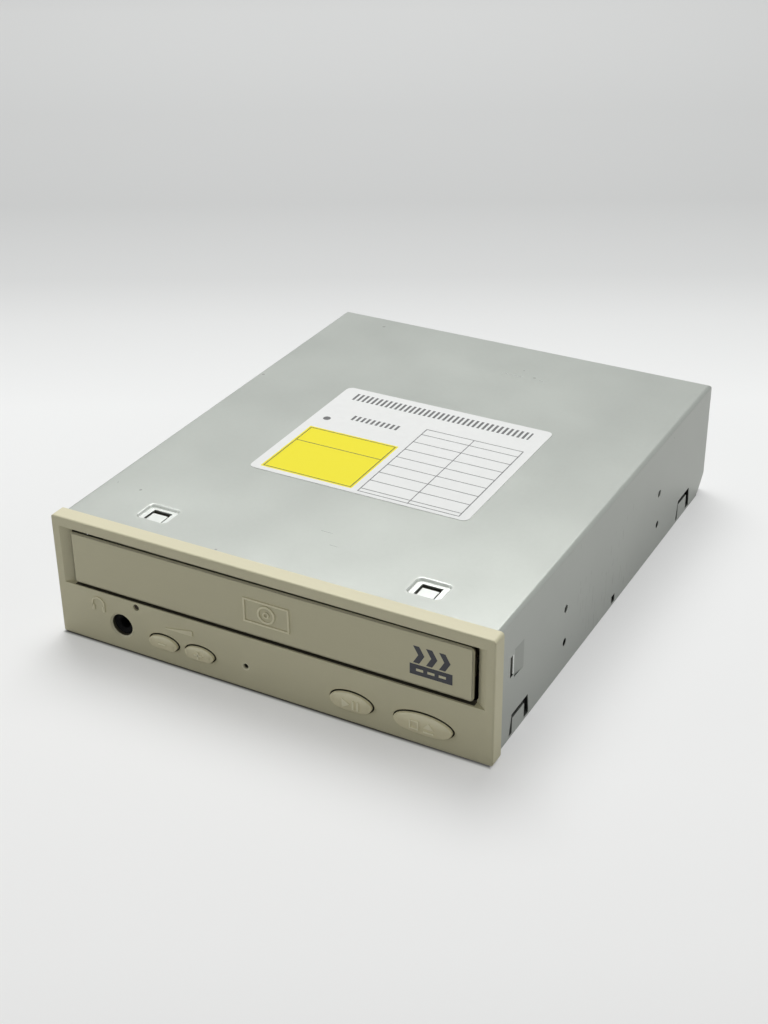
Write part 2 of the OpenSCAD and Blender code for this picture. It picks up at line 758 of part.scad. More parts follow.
// Flat plate with an upright rear wall, tabs that stand in the notches of the cover's sides,
// sunk seats for the cover screws and a drawn panel that stiffens it
module bottom_cover() {
    tab_x = [case_x - 0.1, body_w / 2 - 0.2];
    wall_h = flap_z - fit_gap;
    rear_x = case_x - fit_gap;
    color(steel) difference() {
        union() {
            block([-body_w / 2 + 0.2, body_w / 2 - 0.2], [fit_gap, body_d - rear_cut], [0, sheet_t]);
            block([-rear_x, rear_x], [fit_gap, body_d - bend_r], [0, sheet_t]);
            along_x(-rear_x, rear_x) polygon(concat(
                [[body_d - bend_r - 1, 0]], arc(body_d - bend_r, bend_r, bend_r, -90, 0),
                [[body_d, wall_h], [body_d - sheet_t, wall_h]],
                arc(body_d - bend_r, bend_r, bend_r - sheet_t, 0, -90), [[body_d - bend_r - 1, sheet_t]]));
            for (n = side_notches, s = [0, 1])
                mirror([s, 0, 0])
                    block(tab_x, [n[0] + tab_gap, n[1] - 2 * tab_gap], [0, n[2] - tab_drop]);
            for (p = cover_screws_at)
                bar_z(p[0], p[1], dimple_r + sheet_t, [0, dimple_top]);
            panel(0, panel_h + sheet_t, 0);
        }
        for (p = cover_screws_at) {
            bar_z(p[0], p[1], dimple_r, [-1, dimple_h]);
            bar_z(p[0], p[1], cover_screw_r + fit_gap, [-1, dimple_top + 1]);
        }
        panel(-1, panel_h, sheet_t);
        bottom_holes(hole_r, [-1, sheet_t + 1]);
        along_y(body_d - sheet_t - 2, body_d + 1) {
            header_window(data_x, data_z, data_w, data_h);
            header_window(power_x, power_z, power_w, power_h);
            header_window(audio_x, audio_z, audio_width(audio_pins_n), audio_h);
            header_window(digital_x, audio_z, audio_width(digital_pins_n), audio_h);
            header_window(jumper_x, jumper_z, jumper_w + 2 * window_gap, 6.4);
        }
    }
}

// Drawn panel between the cam's channel and the main board's screws
module panel(z0, z1, inset) {
    front = cam_rear + 2;
    depth = board_front + 23 - front;
    translate([0, front + depth / 2, 0]) along_z(z0, z1)
        round_rect(panel_w - 2 * inset, depth - 2 * inset, panel_corner - inset);
}

module header_window(x, z, w, h) {
    translate([x, z]) square([w + 2 * window_gap, h + 2 * window_gap], center = true);
}

module cover_screws() {
    color("#9a9c98") for (p = cover_screws_at)
        translate([p[0], p[1], dimple_h]) {
            difference() {
                translate([0, 0, -screw_head_h]) cylinder(h = screw_head_h, r = screw_head_r);
                for (a = [0, 90])
                    rotate(a) block([-1.7, 1.7], [-0.35, 0.35], [-screw_head_h - 1, -screw_head_h + 0.7]);
            }
            cylinder(h = 7, r = cover_screw_r);
        }
}

module oval(x, z, w, h) {
    translate([x, z]) polygon(ellipse(w, h));
}

module bezel_latches() {
    for (x = [-pocket_x, pocket_x])
        translate([x, 0, 0]) difference() {
            block([-4.4, 4.4], [-bezel_back - 0.1, arm_len], [arm_top - arm_t, arm_top]);
            block([-3.3, 3.1], [tongue_y - lip_t - 0.3, tongue_y + slit_w],
                [arm_top - arm_t - 1, arm_top + 1]);
        }
    for (s = [0, 1])
        mirror([s, 0, 0]) {
            block([side_arm_x - arm_t, side_arm_x], [-bezel_back - 0.1, louver_y + louver_slot / 2 + 0.3],
                [louver_z - hook_h / 2, louver_z + hook_h / 2]);
            along_z(louver_z - hook_h / 2, louver_z + hook_h / 2)
                polygon([[side_arm_x - 0.1, louver_y + 0.3], [case_x + sheet_t / 4, louver_y + 0.3],
                    [case_x + sheet_t / 4, louver_y + 0.9],
                    [side_arm_x - 0.1, louver_y + louver_slot / 2]]);
        }
}

// Moulded front with a sloped surround beside the tray front, open behind, held by four latch arms
module bezel() {
    color(beige) difference() {
        union() {
            difference() {
                face_plate(bezel_w, bezel_h, bezel_h / 2, -bezel_t, 0, bezel_corner, bezel_edge);
                along_y(-bezel_back, 1) translate([0, bezel_h / 2])
                    round_rect(bezel_w - 2 * bezel_rim, bezel_h - 2 * bezel_rim, 1);
            }
            bezel_latches();
        }
        along_y(-bezel_t - 1, -bezel_back + 0.05) {
            translate([0, front_mid]) round_rect(aperture_w, aperture_h, front_corner + front_gap);
            oval(volume_down_x, button_z, volume_w + 2 * button_gap, volume_h + 2 * button_gap);
            oval(volume_up_x, button_z, volume_w + 2 * button_gap, volume_h + 2 * button_gap);
            oval(play_x, button_z, play_w + 2 * button_gap, play_h + 2 * button_gap);
            oval(eject_x, button_z, eject_w + 2 * button_gap, eject_h + 2 * button_gap);
        }
        along_z(front_mid - aperture_h / 2, front_mid + aperture_h / 2)
            polygon([[-surround_x, -bezel_t - 0.01], [surround_x, -bezel_t - 0.01],
                [aperture_w / 2, -bezel_t + surround_depth], [-aperture_w / 2, -bezel_t + surround_depth]]);
        bar_y(jack_x, jack_z, jack_r + fit_gap, [-bezel_t - 1, 0]);
        translate([jack_x, -bezel_t - 0.01, jack_z]) rotate([-90, 0, 0])
            cylinder(h = socket_edge, r1 = jack_r + fit_gap + socket_edge, r2 = jack_r + fit_gap);
        bar_y(lamp_x, lamp_z, lamp_r + 0.15, [-bezel_t - 1, 0]);
        bar_y(pinhole_x, button_z + 0.5, pinhole_r, [-bezel_t - 1, 0]);
    }
}

module tray_front() {
    hook_x = front_w / 2 - 22;
    hook_t = 1.4;
    rib_t = 1.2;
    rib_z = (tray_rim + hook_t + front_low + front_h) / 2;
    color(beige) {
        face_plate(front_w, front_h, front_mid, front_face, front_face + front_lip, front_corner, front_edge);
        along_y(front_face + front_lip - 0.1, front_back) translate([0, front_mid])
            round_rect(front_w - 2 * front_step, front_h - 2 * front_step, 1);
        for (x = [-hook_x, hook_x])
            translate([x, 0, 0]) block([-6, 6], [front_back, front_back + 6], [tray_rim, tray_rim + hook_t]);
        block([-front_w / 2 + 4, front_w / 2 - 4], [front_back, front_back + rib_t],
            [rib_z - rib_t / 2, rib_z + rib_t / 2]);
    }
}

// Crowned oval cap on a stem, with a collar behind the bezel's wall that keeps it in
module button(x, w, h) {
    face = -bezel_t - button_proud;
    collar = -bezel_back + 0.1;
    stem_end = switch_face - 1 - button_travel - 0.1;
    round_h = crown_radius(h / 2, crown_h);
    round_w = crown_radius(w / 2, crown_w);
    color("#ddd5ba") translate([x, 0, button_z]) {
        intersection() {
            along_y(face, collar) polygon(ellipse(w, h));
            bar_x(face + round_h, 0, round_h, [-w, w], $fn = 240);
            bar_z(0, face + round_w - crown_lead, round_w, [-h, h], $fn = 480);
        }
        along_y(collar, collar + 0.8) polygon(ellipse(w + 2, h + 2));
        block([-1.5, 1.5], [collar, stem_end], [-1.2, 1.2]);
    }
}

module volume_down_button() {
    button(volume_down_x, volume_w, volume_h);
}

module volume_up_button() {
    button(volume_up_x, volume_w, volume_h);
}

module play_button() {
    button(play_x, play_w, play_h);
}

module eject_button() {
    button(eject_x, eject_w, eject_h);
}

// Socket body on the front board with a round nose that fills the hole in the bezel
module headphone_jack() {
    nose = -bezel_t + jack_sink;
    color(black) difference() {
        union() {
            bar_y(jack_x, jack_z, jack_r, [nose, 1]);
            block([jack_x - 5, jack_x + 5], [0.3, nose + jack_depth + 1.6],
                [front_board_top, jack_z + 4.4]);
        }
        bar_y(jack_x, jack_z, jack_bore_r, [nose - 1, nose + jack_depth]);
        translate([jack_x, nose - 0.01, jack_z]) rotate([-90, 0, 0])
            cylinder(h = 0.8, r1 = jack_r - 0.6, r2 = jack_bore_r);
    }
}

module activity_lamp() {
    color("#a9b59a") {
        bar_y(lamp_x, lamp_z, lamp_r, [-bezel_t + lamp_sink, 0.4]);
        bar_y(lamp_x, lamp_z, lamp_r + 0.5, [0.3, 3.6]);
        for (x = [-0.6, 0.6])
            block([lamp_x + x - 0.25, lamp_x + x + 0.25], [2.6, 3.1], [front_board_top, lamp_z]);
    }
}

module front_board() {
    color(board_green) difference() {
        block([-front_board_x, front_board_x], [0.6, 0.6 + front_board_d], [front_board_z, front_board_top]);
        bar_z(pinhole_x, 0.6, 1.6, [front_board_z - 1, front_board_top + 1]);
    }
}

module button_switches() {
    color(black) for (x = [volume_down_x, volume_up_x, play_x, eject_x])
        translate([x, 0, 0]) {
            block([-3.1, 3.1], [switch_face, switch_face + 3.6], [front_board_top, button_z + 3.1]);
            bar_y(0, button_z, 1.5, [switch_face - 1, switch_face + 0.1]);
        }
}

// Posts and shoulders that the loading gears turn on
module gear_post(x, shoulder) {
    bar_z(x, gear_y, post_r, [loader_top - 0.1, gear_top - 0.1]);
    bar_z(x, gear_y, post_r + 1.4, [loader_top - 0.1, shoulder - 0.25]);
}

module frame_walls() {
    rib_bay = 20;
    for (s = [0, 1])
        mirror([s, 0, 0]) difference() {
            union() {
                block([wall_in, frame_x], [wall_front, wall_rear], [wall_bottom, wall_top]);
                block([groove_x + 0.4, frame_x], [disc_y - bridge_post, disc_y + bridge_post],
                    [wall_top - 0.1, bridge_z]);
            }
            block([wall_in - 1, groove_x], [wall_front - 1, wall_rear + 1],
                [rail_z - slide_gap, rail_z + rail_h + slide_gap]);
            block([side_arm_x - arm_t - slide_gap, frame_x + 1], [wall_front - 1, arm_len + 1.5],
                [louver_z - louver_h / 2 - 1.4, louver_z + louver_h / 2 + 1.4]);
            for (y = [wall_front + 20 : rib_bay : wall_rear - rib_bay])
                block([groove_x + 1.6, frame_x + 1], [y, y + rib_bay - 1.6], [wall_bottom + 2, rail_z - 2]);
            side_holes([frame_x - hole_clear_len, frame_x + 1], hole_clear_r);
            for (y = [hole_front, hole_front + hole_pitch])
                bar_z(bottom_hole_w / 2, y, hole_clear_r, [wall_bottom - 1, wall_bottom + hole_clear_len]);
            for (n = side_notches)
                block([case_x - 0.5, frame_x + 1], [n[0], n[1]], [wall_bottom - 1, n[2]]);
        }
}

// One moulding: ribbed side walls with the tray's guides, the gear deck at the front,
// the cam's channel, the hinge bearings and the bosses for the boards and covers
module loader_frame() {
    color(grey_plastic) difference() {
        union() {
            frame_walls();
            block([-wall_in - 0.1, wall_in + 0.1], [6, cam_front - slide_gap], [loader_bottom, loader_top]);
            for (s = [0, 1])
                mirror([s, 0, 0]) {
                    block([opening_x, wall_in + 0.1], [cam_front - slide_gap - 2, opening_rear],
                        [floor_z, floor_z + floor_t]);
                    block([channel_x, opening_x + 1], [cam_front - slide_gap - 2, cam_rear + slide_gap],
                        [cam_bottom - slide_gap - channel_t, loader_bottom + 0.1]);
                    block([lift_half_w + 1, lift_half_w + 1 + bearing_w], [pivot_y - 5, pivot_y + 5],
                        [floor_z, pivot_z + pivot_r + 2]);
                }
            block([-channel_x - 0.1, channel_x + 0.1], [cam_front - slide_gap - 2, cam_front - slide_gap],
                [cam_bottom - slide_gap - channel_t, loader_bottom + 0.1]);
            block([-channel_x - 0.1, channel_x + 0.1], [cam_front - slide_gap - 2, cam_rear + slide_gap],
                [cam_bottom - slide_gap - channel_t, cam_bottom - slide_gap]);
            block([-wall_in - 0.1, wall_in + 0.1], [opening_rear + 1, opening_rear + 10],
                [floor_z + 6.6, floor_z + 9.4]);
            for (x = [-wall_in + 6, wall_in - 6])
                block([x - 6.1, x + 6.1], [opening_rear - 1, opening_rear + 2], [floor_z, floor_z + 9.4]);
            gear_post(drive_x, gear_bottom);
            gear_post(pulley_x, pulley_bottom);
            for (p = cover_screws_at)
                bar_z(p[0], p[1], boss_r, [dimple_top, p[1] < disc_y ? loader_bottom + 0.1 : floor_z + 0.1]);
            for (p = board_screws_at)
                bar_z(p[0], p[1], 3, [board_top, floor_z + 0.1]);
            for (x = [pinhole_x - 4, (play_x + eject_x) / 2])
                bar_z(x, 7.6, 1.8, [front_board_top, loader_bottom + 0.1]);
            for (p = peg_at)
                bar_z(p[0], p[1], peg_r, [bridge_z - 0.1, bridge_z + bridge_t + 0.6]);
        }
        for (p = cover_screws_at)
            bar_z(p[0], p[1], cover_screw_r + run_gap, [dimple_top - 1, dimple_top + 8]);
        for (p = board_screws_at)
            bar_z(p[0], p[1], board_screw_r + run_gap, [board_top - 1, board_top + 5]);
        bar_x(pivot_y, pivot_z, pivot_r + run_gap,
            [-lift_half_w - bearing_w - 2, lift_half_w + bearing_w + 2]);
        bar_z(motor_x, gear_y, 3.4, [loader_bottom - 1, loader_top + 1]);
    }
}

// Space under the tray's rim, round the well
module tray_hollow() {
    difference() {
        translate([-tray_x + tray_wall, front_back + tray_wall])
            square([2 * (tray_x - tray_wall), tray_rear - front_back - 2 * tray_wall]);
        translate([0, disc_y]) circle(well_r + tray_wall);
    }
}

// Lane from the well to the rear, in which the clamp puck passes over the tray
module tray_lane(wall) {
    translate([-lane_x - wall, disc_y]) square([2 * (lane_x + wall), tray_rear - disc_y + 1]);
}

// Moulded tray: round well, window for the turntable and pickup, runners and the rack below
module disc_tray() {
    finger_r = 9;
    rack_reach = rack_back + 4;
    color(beige) difference() {
        union() {
            difference() {
                block([-tray_x, tray_x], [front_back, tray_rear], [tray_under, tray_rim]);
                bar_z(0, disc_y, well_r, [tray_floor, tray_rim + 1]);
                along_z(tray_under - 1, tray_rim - tray_t) difference() {
                    tray_hollow();
                    tray_lane(tray_t);
                    translate([rack_x - rack_reach, 0]) square([rack_reach + 3, tray_rear]);
                }
                along_z(tray_under - 1, lane_z - tray_t) intersection() {
                    tray_hollow();
                    tray_lane(0);
                }
                along_z(lane_z, tray_rim + 1) tray_lane(0);
            }
            for (a = [32, 148, 212, 328])
                translate([0, disc_y, 0]) rotate(a)
                    block([disc_r - 0.8, well_r + 1], [-2.5, 2.5], [tray_rim - 1.2, tray_rim]);
            for (s = [0, 1])
                mirror([s, 0, 0])
                    block([tray_x - 0.1, rail_x], [wall_front + 1, tray_rear], [rail_z, rail_z + rail_h]);
            translate([rack_x, gear_y, 0]) along_z(gear_bottom, tray_under + 0.1)
                polygon(rack_outline(gear_m, -2, rack_teeth - 3, rack_back));
        }
        bar_z(0, disc_y, 41, [tray_floor - 0.8, tray_floor + 1]);
        bar_z(0, disc_y, window_x, [tray_under - 1, tray_rim]);
        block([-window_x, window_x], [disc_y, disc_y + window_len - 6], [tray_under - 1, tray_rim + 1]);
        for (x = [-1, 1])
            bar_z(x * (window_x - 6), disc_y + window_len - 6, 6, [tray_under - 1, tray_rim + 1]);
        block([6 - window_x, window_x - 6], [disc_y, disc_y + window_len], [tray_under - 1, tray_rim + 1]);
        for (x = [-1, 1])
            bar_z(x * well_r * cos(45), disc_y - well_r * sin(45), finger_r,
                [tray_floor - 0.8, tray_rim + 1]);
    }
}

module tray_drive_gear() {
    color(white_plastic) translate([drive_x, gear_y, 0]) difference() {
        union() {
            along_z(gear_bottom, gear_top) polygon(gear_outline(gear_m, drive_teeth, 180));
            bar_z(0, 0, post_r + 1.5, [gear_bottom - 0.2, gear_top]);
        }
        bar_z(0, 0, post_r + run_gap, [gear_bottom - 1, gear_top + 1]);
        for (a = [0 : 60 : 300])
            rotate(a) bar_z(drive_r * 0.56, 0, drive_r * 0.19, [gear_bottom - 1, gear_top + 1]);
    }
}

// Grooved belt wheel; the groove holds the belt at its middle height
module belt_wheel(r, bore) {
    groove = belt_t / 2 + 0.3;
    rotate_extrude() polygon([[bore, pulley_bottom], [r, pulley_bottom], [r, belt_z - groove - 0.4],
        [r - belt_depth, belt_z - groove], [r - belt_depth, belt_z + groove], [r, belt_z + groove + 0.4],
        [r, pulley_top], [bore, pulley_top]]);
}

module pulley_gear() {
    bore = post_r + run_gap;
    color(white_plastic) translate([pulley_x, gear_y, 0]) {
        belt_wheel(pulley_r, bore);
        difference() {
            union() {
                along_z(gear_bottom, gear_top)
                    polygon(gear_outline(gear_m, pinion_teeth, 180 + 180 / pinion_teeth));
                bar_z(0, 0, pinion_r - dedendum * gear_m, [pulley_top - 0.1, gear_top]);
            }
            bar_z(0, 0, bore, [pulley_top - 1, gear_top + 1]);
        }
    }
}

// Small pulley in one piece with the motor's shaft
module motor_pulley() {
    color(brass) translate([motor_x, gear_y, 0]) {
        belt_wheel(motor_pulley_r, 0);
        bar_z(0, 0, shaft_r, [loader_bottom - 7, pulley_bottom + 0.1]);
    }
}

module drive_belt() {
    ra = pulley_r - belt_depth + belt_gap;
    rb = motor_pulley_r - belt_depth + belt_gap;
    color(black) translate([0, gear_y, 0]) along_z(belt_z - belt_t / 2, belt_z + belt_t / 2) difference() {
        polygon(belt_loop(pulley_x, ra + belt_t, motor_x, rb + belt_t));
        polygon(belt_loop(pulley_x, ra, motor_x, rb));
    }
}

module loading_motor() {
    low = loader_bottom - load_motor_h;
    color("#b9bcb8") translate([motor_x, gear_y, 0]) difference() {
        union() {
            bar_z(0, 0, load_motor_r, [low + 0.8, loader_bottom]);
            bar_z(0, 0, load_motor_r - 0.8, [low, loader_bottom]);
            bar_z(0, 0, 3, [loader_bottom - 0.1, loader_bottom + 1]);
        }
        bar_z(0, 0, shaft_r + run_gap, [loader_bottom - 8, loader_bottom + 2]);
    }
}

// Bar with two inclined slots; it runs across the drive and raises the mechanism by its front pins
module slide_cam() {
    rise = cam_pin_z - cam_low;
    tilt = atan(rise / cam_travel);
    length = norm([rise, cam_travel]);
    color(white_plastic) difference() {
        union() {
            block(cam_ends, [cam_front, cam_rear], [cam_bottom, cam_top]);
            block([cam_ends[0] + 6, cam_ends[0] + 30], [cam_front, cam_front + 2],
                [cam_top - 0.1, cam_top + 1.4]);
        }
        for (x = [-cam_pin_x, cam_pin_x]) {
            translate([x, 0, cam_low]) rotate([0, tilt, 0])
                block([-length, 0], [cam_front - 1, cam_rear + 1], [-cam_slot_r, cam_slot_r]);
            bar_y(x, cam_low, cam_slot_r, [cam_front - 1, cam_rear + 1]);
            bar_y(x - cam_travel, cam_pin_z, cam_slot_r, [cam_front - 1, cam_rear + 1]);
        }
    }
}

module lift_frame() {
    in_x = lift_half_w - lift_wall;
    color("#4a4c4f") lowered() difference() {
        union() {
            difference() {
                block([-lift_half_w, lift_half_w], [lift_front, lift_rear], [lift_bottom, lift_top]);
                block([-in_x, in_x], [deck_front - 0.8, deck_rear + 1.5], [lift_bottom - 1, lift_top + 1]);
            }
            for (p = damper_at) {
                block(p[0] < 0 ? [-in_x - 0.1, p[0] + 5] : [p[0] - 5, in_x + 0.1],
                    [p[1] - 5, p[1] + 5], [lift_bottom, lift_bottom + ear_t]);
            }
            bar_x(pivot_y, pivot_z, pivot_r, [-lift_half_w - bearing_w + 0.5, lift_half_w + bearing_w - 0.5]);
            for (x = [-cam_pin_x, cam_pin_x])
                bar_y(x, cam_pin_z, cam_pin_r, [cam_front + 0.6, lift_front + 0.1]);
        }
        block([-in_x, in_x], [deck_front - 0.8, deck_rear + 1.5], [lift_bottom + ear_t, lift_top + 1]);
        for (s = [0, 1])
            mirror([s, 0, 0]) block([in_x + 1.6, lift_half_w - 1.6], [lift_front + 2, lift_rear - 12],
                [lift_bottom - 1, lift_top - 1.6]);
        for (p = damper_at)
            bar_z(p[0], p[1], damper_screw_r, [lift_bottom - 1, lift_bottom + ear_t + 1]);
    }
}

// Steel plate that carries spindle and pickup, with bent tabs for the guide rods and a gear post
module mechanism_deck() {
    color("#b4b8b4") lowered() difference() {
        union() {
            difference() {
                block([-deck_half_w, deck_half_w], [deck_front, deck_rear], [deck_bottom, deck_top]);
                block([-rod_x - 4, rod_x + 4], [sled_y - 0.8, rod_rear], [deck_bottom - 1, deck_top + 1]);
            }
            for (x = [-rod_x, rod_x], y = [rod_front, rod_rear])
                block([x - 3, x + 3], [y, y + rod_tab], [rod_z - rod_r - 1, deck_bottom + 0.1]);
            bar_z(sled_gear_x, sled_gear_y, shaft_r, [deck_top - 0.1, sled_gear_z + 2 * sled_gear_t + 0.5]);
        }
        bar_z(0, disc_y, motor_hole, [deck_bottom - 1, deck_top + 1]);
        for (x = [-rod_x, rod_x])
            bar_y(x, rod_z, rod_r, [rod_front - 1, rod_rear + rod_tab + 1]);
        for (p = damper_at)
            bar_z(p[0], p[1], damper_neck, [deck_bottom - 1, deck_top + 1]);
        bar_z(sled_motor_x, sled_motor_y, 2, [deck_bottom - 1, deck_top + 1]);
    }
}

module dampers() {
    low = lift_bottom + ear_t;
    neck = damper_neck - run_gap;
    color(black) lowered() for (p = damper_at)
        translate([p[0], p[1], 0]) rotate_extrude() polygon([[damper_screw_r, low], [damper_r, low],
            [damper_r, deck_bottom], [neck, deck_bottom], [neck, deck_top],
            [damper_r, deck_top], [damper_r, deck_top + 1.6], [damper_screw_r, deck_top + 1.6]]);
}

module damper_screws() {
    color("#9a9c98") lowered() for (p = damper_at)
        translate([p[0], p[1], 0]) {
            bar_z(0, 0, damper_screw_r, [lift_bottom, deck_top + 1.7]);
            bar_z(0, 0, 3.2, [deck_top + 1.6, deck_top + 2.8]);
        }
}

// Base plate below the deck with the bearing tube of the spindle
module spindle_motor() {
    color("#8f938f") lowered() translate([0, disc_y, 0]) difference() {
        union() {
            bar_z(0, 0, motor_hole + 2.4, [deck_bottom - 1.2, deck_bottom]);
            bar_z(0, 0, 8.5, [deck_bottom - 1.8, deck_top - 0.2]);
            bar_z(0, 0, 3, [deck_top - 0.3, deck_top + 3.8]);
        }
        bar_z(0, 0, shaft_r + run_gap, [deck_bottom - 0.8, deck_top + 5]);
    }
}

module spindle_rotor() {
    top = table_bottom - 0.1;
    color("#c2c5c1") lowered() translate([0, disc_y, 0]) rotate_extrude()
        polygon([[shaft_r, top - 1], [spindle_motor_r - 1, top - 1], [spindle_motor_r - 1, deck_top + 0.6],
            [spindle_motor_r, deck_top + 0.6], [spindle_motor_r, top - 0.6], [spindle_motor_r - 0.6, top],
            [shaft_r, top]]);
}

// Turntable with its shaft and the tapered hub that centres the disc
module turntable() {
    color(black) lowered() translate([0, disc_y, 0]) rotate_extrude()
        polygon([[0, deck_bottom], [shaft_r, deck_bottom], [shaft_r, table_bottom], [table_r, table_bottom],
            [table_r, clamp_z - 0.4], [hub_r, clamp_z - 0.4], [hub_r, clamp_z + hub_h * 0.4],
            [hub_r - 1.2, clamp_z + hub_h], [3.4, clamp_z + hub_h], [3, clamp_z + hub_h - 0.6],
            [0, clamp_z + hub_h - 0.6]]);
}

module turntable_grip() {
    color("#4c4c4c") lowered() translate([0, disc_y, 0]) rotate_extrude()
        polygon([[table_r - 4, clamp_z - 0.4], [table_r - 0.3, clamp_z - 0.4], [table_r - 0.3, clamp_z],
            [table_r - 4, clamp_z]]);
}

module guide_rods() {
    color("#d5d8d6") lowered() for (x = [-rod_x, rod_x])
        bar_y(x, rod_z, rod_r, [rod_front - 0.4, rod_rear + rod_tab + 0.4]);
}

// Cast optics block on two guide rods
module pickup_sled() {
    sled = [sled_y, sled_y + sled_len];
    color("#7d8286") lowered() difference() {
        union() {
            block([-sled_half_w, sled_half_w], sled, [sled_bottom, sled_top]);
            block([-rod_x - 3.4, rod_x + 3.4], sled, [sled_bottom, deck_bottom - 0.4]);
        }
        for (x = [-rod_x, rod_x])
            bar_y(x, rod_z, rod_r + run_gap, [sled_y - 1, sled[1] + 1]);
        for (x = [-1, 1])
            block(x < 0 ? [-rod_x - 4, -sled_half_w] : [sled_half_w, rod_x + 4],
                [sled_y + 6, sled[1] - 6], [sled_bottom - 1, deck_bottom]);
        bar_z(0, lens_y, lens_r + 2, [sled_top - lens_seat - lens_travel - fit_gap, sled_top + 1]);
        block([-sled_half_w - 1, -sled_half_w + 5], [sled[1] - 8, sled[1] + 1], [sled_top - 4, sled_top + 1]);
    }
}

module pickup_cover() {
    color("#aeb2b0") lowered() difference() {
        block([-14, 14], [sled_y + 0.6, sled_y + sled_len - 5], [sled_top, sled_top + sled_cover_t]);
        block([-12.8, 12.8], [sled_y + 1.8, sled_y + sled_len - 6.2],
            [sled_top - 1, sled_top + sled_cover_t - 0.6]);
        bar_z(0, lens_y, lens_r + 1.8, [sled_top, sled_top + sled_cover_t + 1]);
    }
}

// Ring that carries the lens and moves up and down to focus
module lens_holder() {
    color(black) lowered() translate([0, lens_y, 0]) difference() {
        bar_z(0, 0, lens_r + 1.4, [sled_top - lens_seat, clamp_z - 2]);
        bar_z(0, 0, lens_r, [clamp_z - 2.9, clamp_z - 1]);
        bar_z(0, 0, lens_r - 0.6, [sled_top - 3, clamp_z - 1]);
    }
}

module objective_lens() {
    low = clamp_z - 2.9;
    bulge = arc(0, low - 2.6, 4.1, 54, 90, 8);
    color("#9fb4c4") lowered() translate([0, lens_y, 0]) rotate_extrude()
        polygon(concat([[0, low], [lens_r - 0.02, low], [lens_r - 0.02, low + 0.7]], bulge));
}

module sled_rack() {
    color(white_plastic) lowered() translate([sled_rack_x, sled_gear_y, 0])
        along_z(sled_gear_z, sled_gear_z + sled_gear_t)
            polygon(rack_outline(sled_m, -sled_rack_teeth + 1, 1, sled_rack_x - sled_half_w));
}

module sled_motor() {
    color("#b9bcb8") lowered() translate([sled_motor_x, sled_motor_y, 0]) difference() {
        union() {
            bar_z(0, 0, sled_motor_r, [deck_bottom - sled_motor_h, deck_bottom]);
            bar_z(0, 0, 1.9, [deck_bottom - 0.1, deck_top + 0.4]);
        }
        bar_z(0, 0, shaft_r + run_gap, [deck_bottom - 4, deck_top + 1]);
    }
}

module sled_motor_pinion() {
    low = sled_gear_z + sled_gear_t + 0.3;
    color(brass) lowered() translate([sled_motor_x, sled_motor_y, 0]) {
        along_z(low, low + sled_gear_t - 0.4)
            polygon(gear_outline(sled_m, sled_motor_teeth, sled_turn + 180 + 180 / sled_motor_teeth));
        bar_z(0, 0, shaft_r, [deck_bottom - 3.5, low + 0.1]);
    }
}

// Step-down gear: the large wheel meets the motor, the small one the rack
module sled_gear() {
    low = sled_gear_z + sled_gear_t + 0.3;
    color(white_plastic) lowered() translate([sled_gear_x, sled_gear_y, 0]) difference() {
        union() {
            along_z(sled_gear_z - 0.4, low + 0.1) polygon(gear_outline(sled_m, sled_pinion_teeth, 180));
            along_z(low, low + sled_gear_t - 0.4) polygon(gear_outline(sled_m, sled_gear_teeth, sled_turn));
        }
        bar_z(0, 0, shaft_r + run_gap, [deck_top, low + sled_gear_t + 1]);
    }
}

// Steel strip across the drive with bent-down edges and a round eye for the puck
module clamp_bridge() {
    eye = bridge_hole + 5;
    flange = 2.4;
    color("#bcc0bb") difference() {
        union() {
            block([-frame_x + 0.4, frame_x - 0.4], [disc_y - bridge_w / 2, disc_y + bridge_w / 2],
                [bridge_z, bridge_z + bridge_t]);
            bar_z(0, disc_y, eye, [bridge_z, bridge_z + bridge_t]);
            for (x = [[-wall_in + 3, -eye - 2], [eye + 2, wall_in - 3]],
                y = [-bridge_w / 2, bridge_w / 2 - bridge_t])
                block(x, [disc_y + y, disc_y + y + bridge_t], [bridge_z - flange, bridge_z + 0.1]);
        }
        bar_z(0, disc_y, bridge_hole, [bridge_z - 1, bridge_z + bridge_t + 1]);
        for (p = peg_at)
            bar_z(p[0], p[1], peg_r + 0.1, [bridge_z - 1, bridge_z + bridge_t + 1]);
    }
}

// Puck that hangs in the bridge's eye and presses the disc onto the turntable
module clamp_puck() {
    recess = bridge_z + 0.2;
    color(white_plastic) translate([0, disc_y, 0]) rotate_extrude()
        polygon([[yoke_r, puck_bottom], [puck_r - 0.8, puck_bottom], [puck_r, puck_bottom + 0.8],
            [puck_r, puck_flange_z], [puck_flange_r, puck_flange_z], [puck_flange_r, puck_top - 0.4],
            [puck_flange_r - 0.4, puck_top], [0, puck_top], [0, recess], [yoke_r, recess]]);
}

module clamp_yoke() {
    top = bridge_z + 0.2;
    color("#8c908e") translate([0, disc_y, 0]) rotate_extrude()
        polygon([[2, top - yoke_t], [yoke_r - 0.05, top - yoke_t], [yoke_r - 0.05, top], [2, top]]);
}

module main_board() {
    color(board_green) difference() {
        block([-board_half_w, board_half_w], [board_front, board_rear], [board_z, board_top]);
        for (p = cover_screws_at)
            bar_z(p[0], p[1], boss_r + 0.6, [board_z - 1, board_top + 1]);
        for (p = board_screws_at)
            bar_z(p[0], p[1], board_screw_r + 0.2, [board_z - 1, board_top + 1]);
    }
}

module board_screws() {
    color("#9a9c98") for (p = board_screws_at) {
        bar_z(p[0], p[1], board_screw_r, [board_z - 0.1, board_top + 4.5]);
        bar_z(p[0], p[1], 2.4, [board_z - 1.2, board_z]);
    }
}

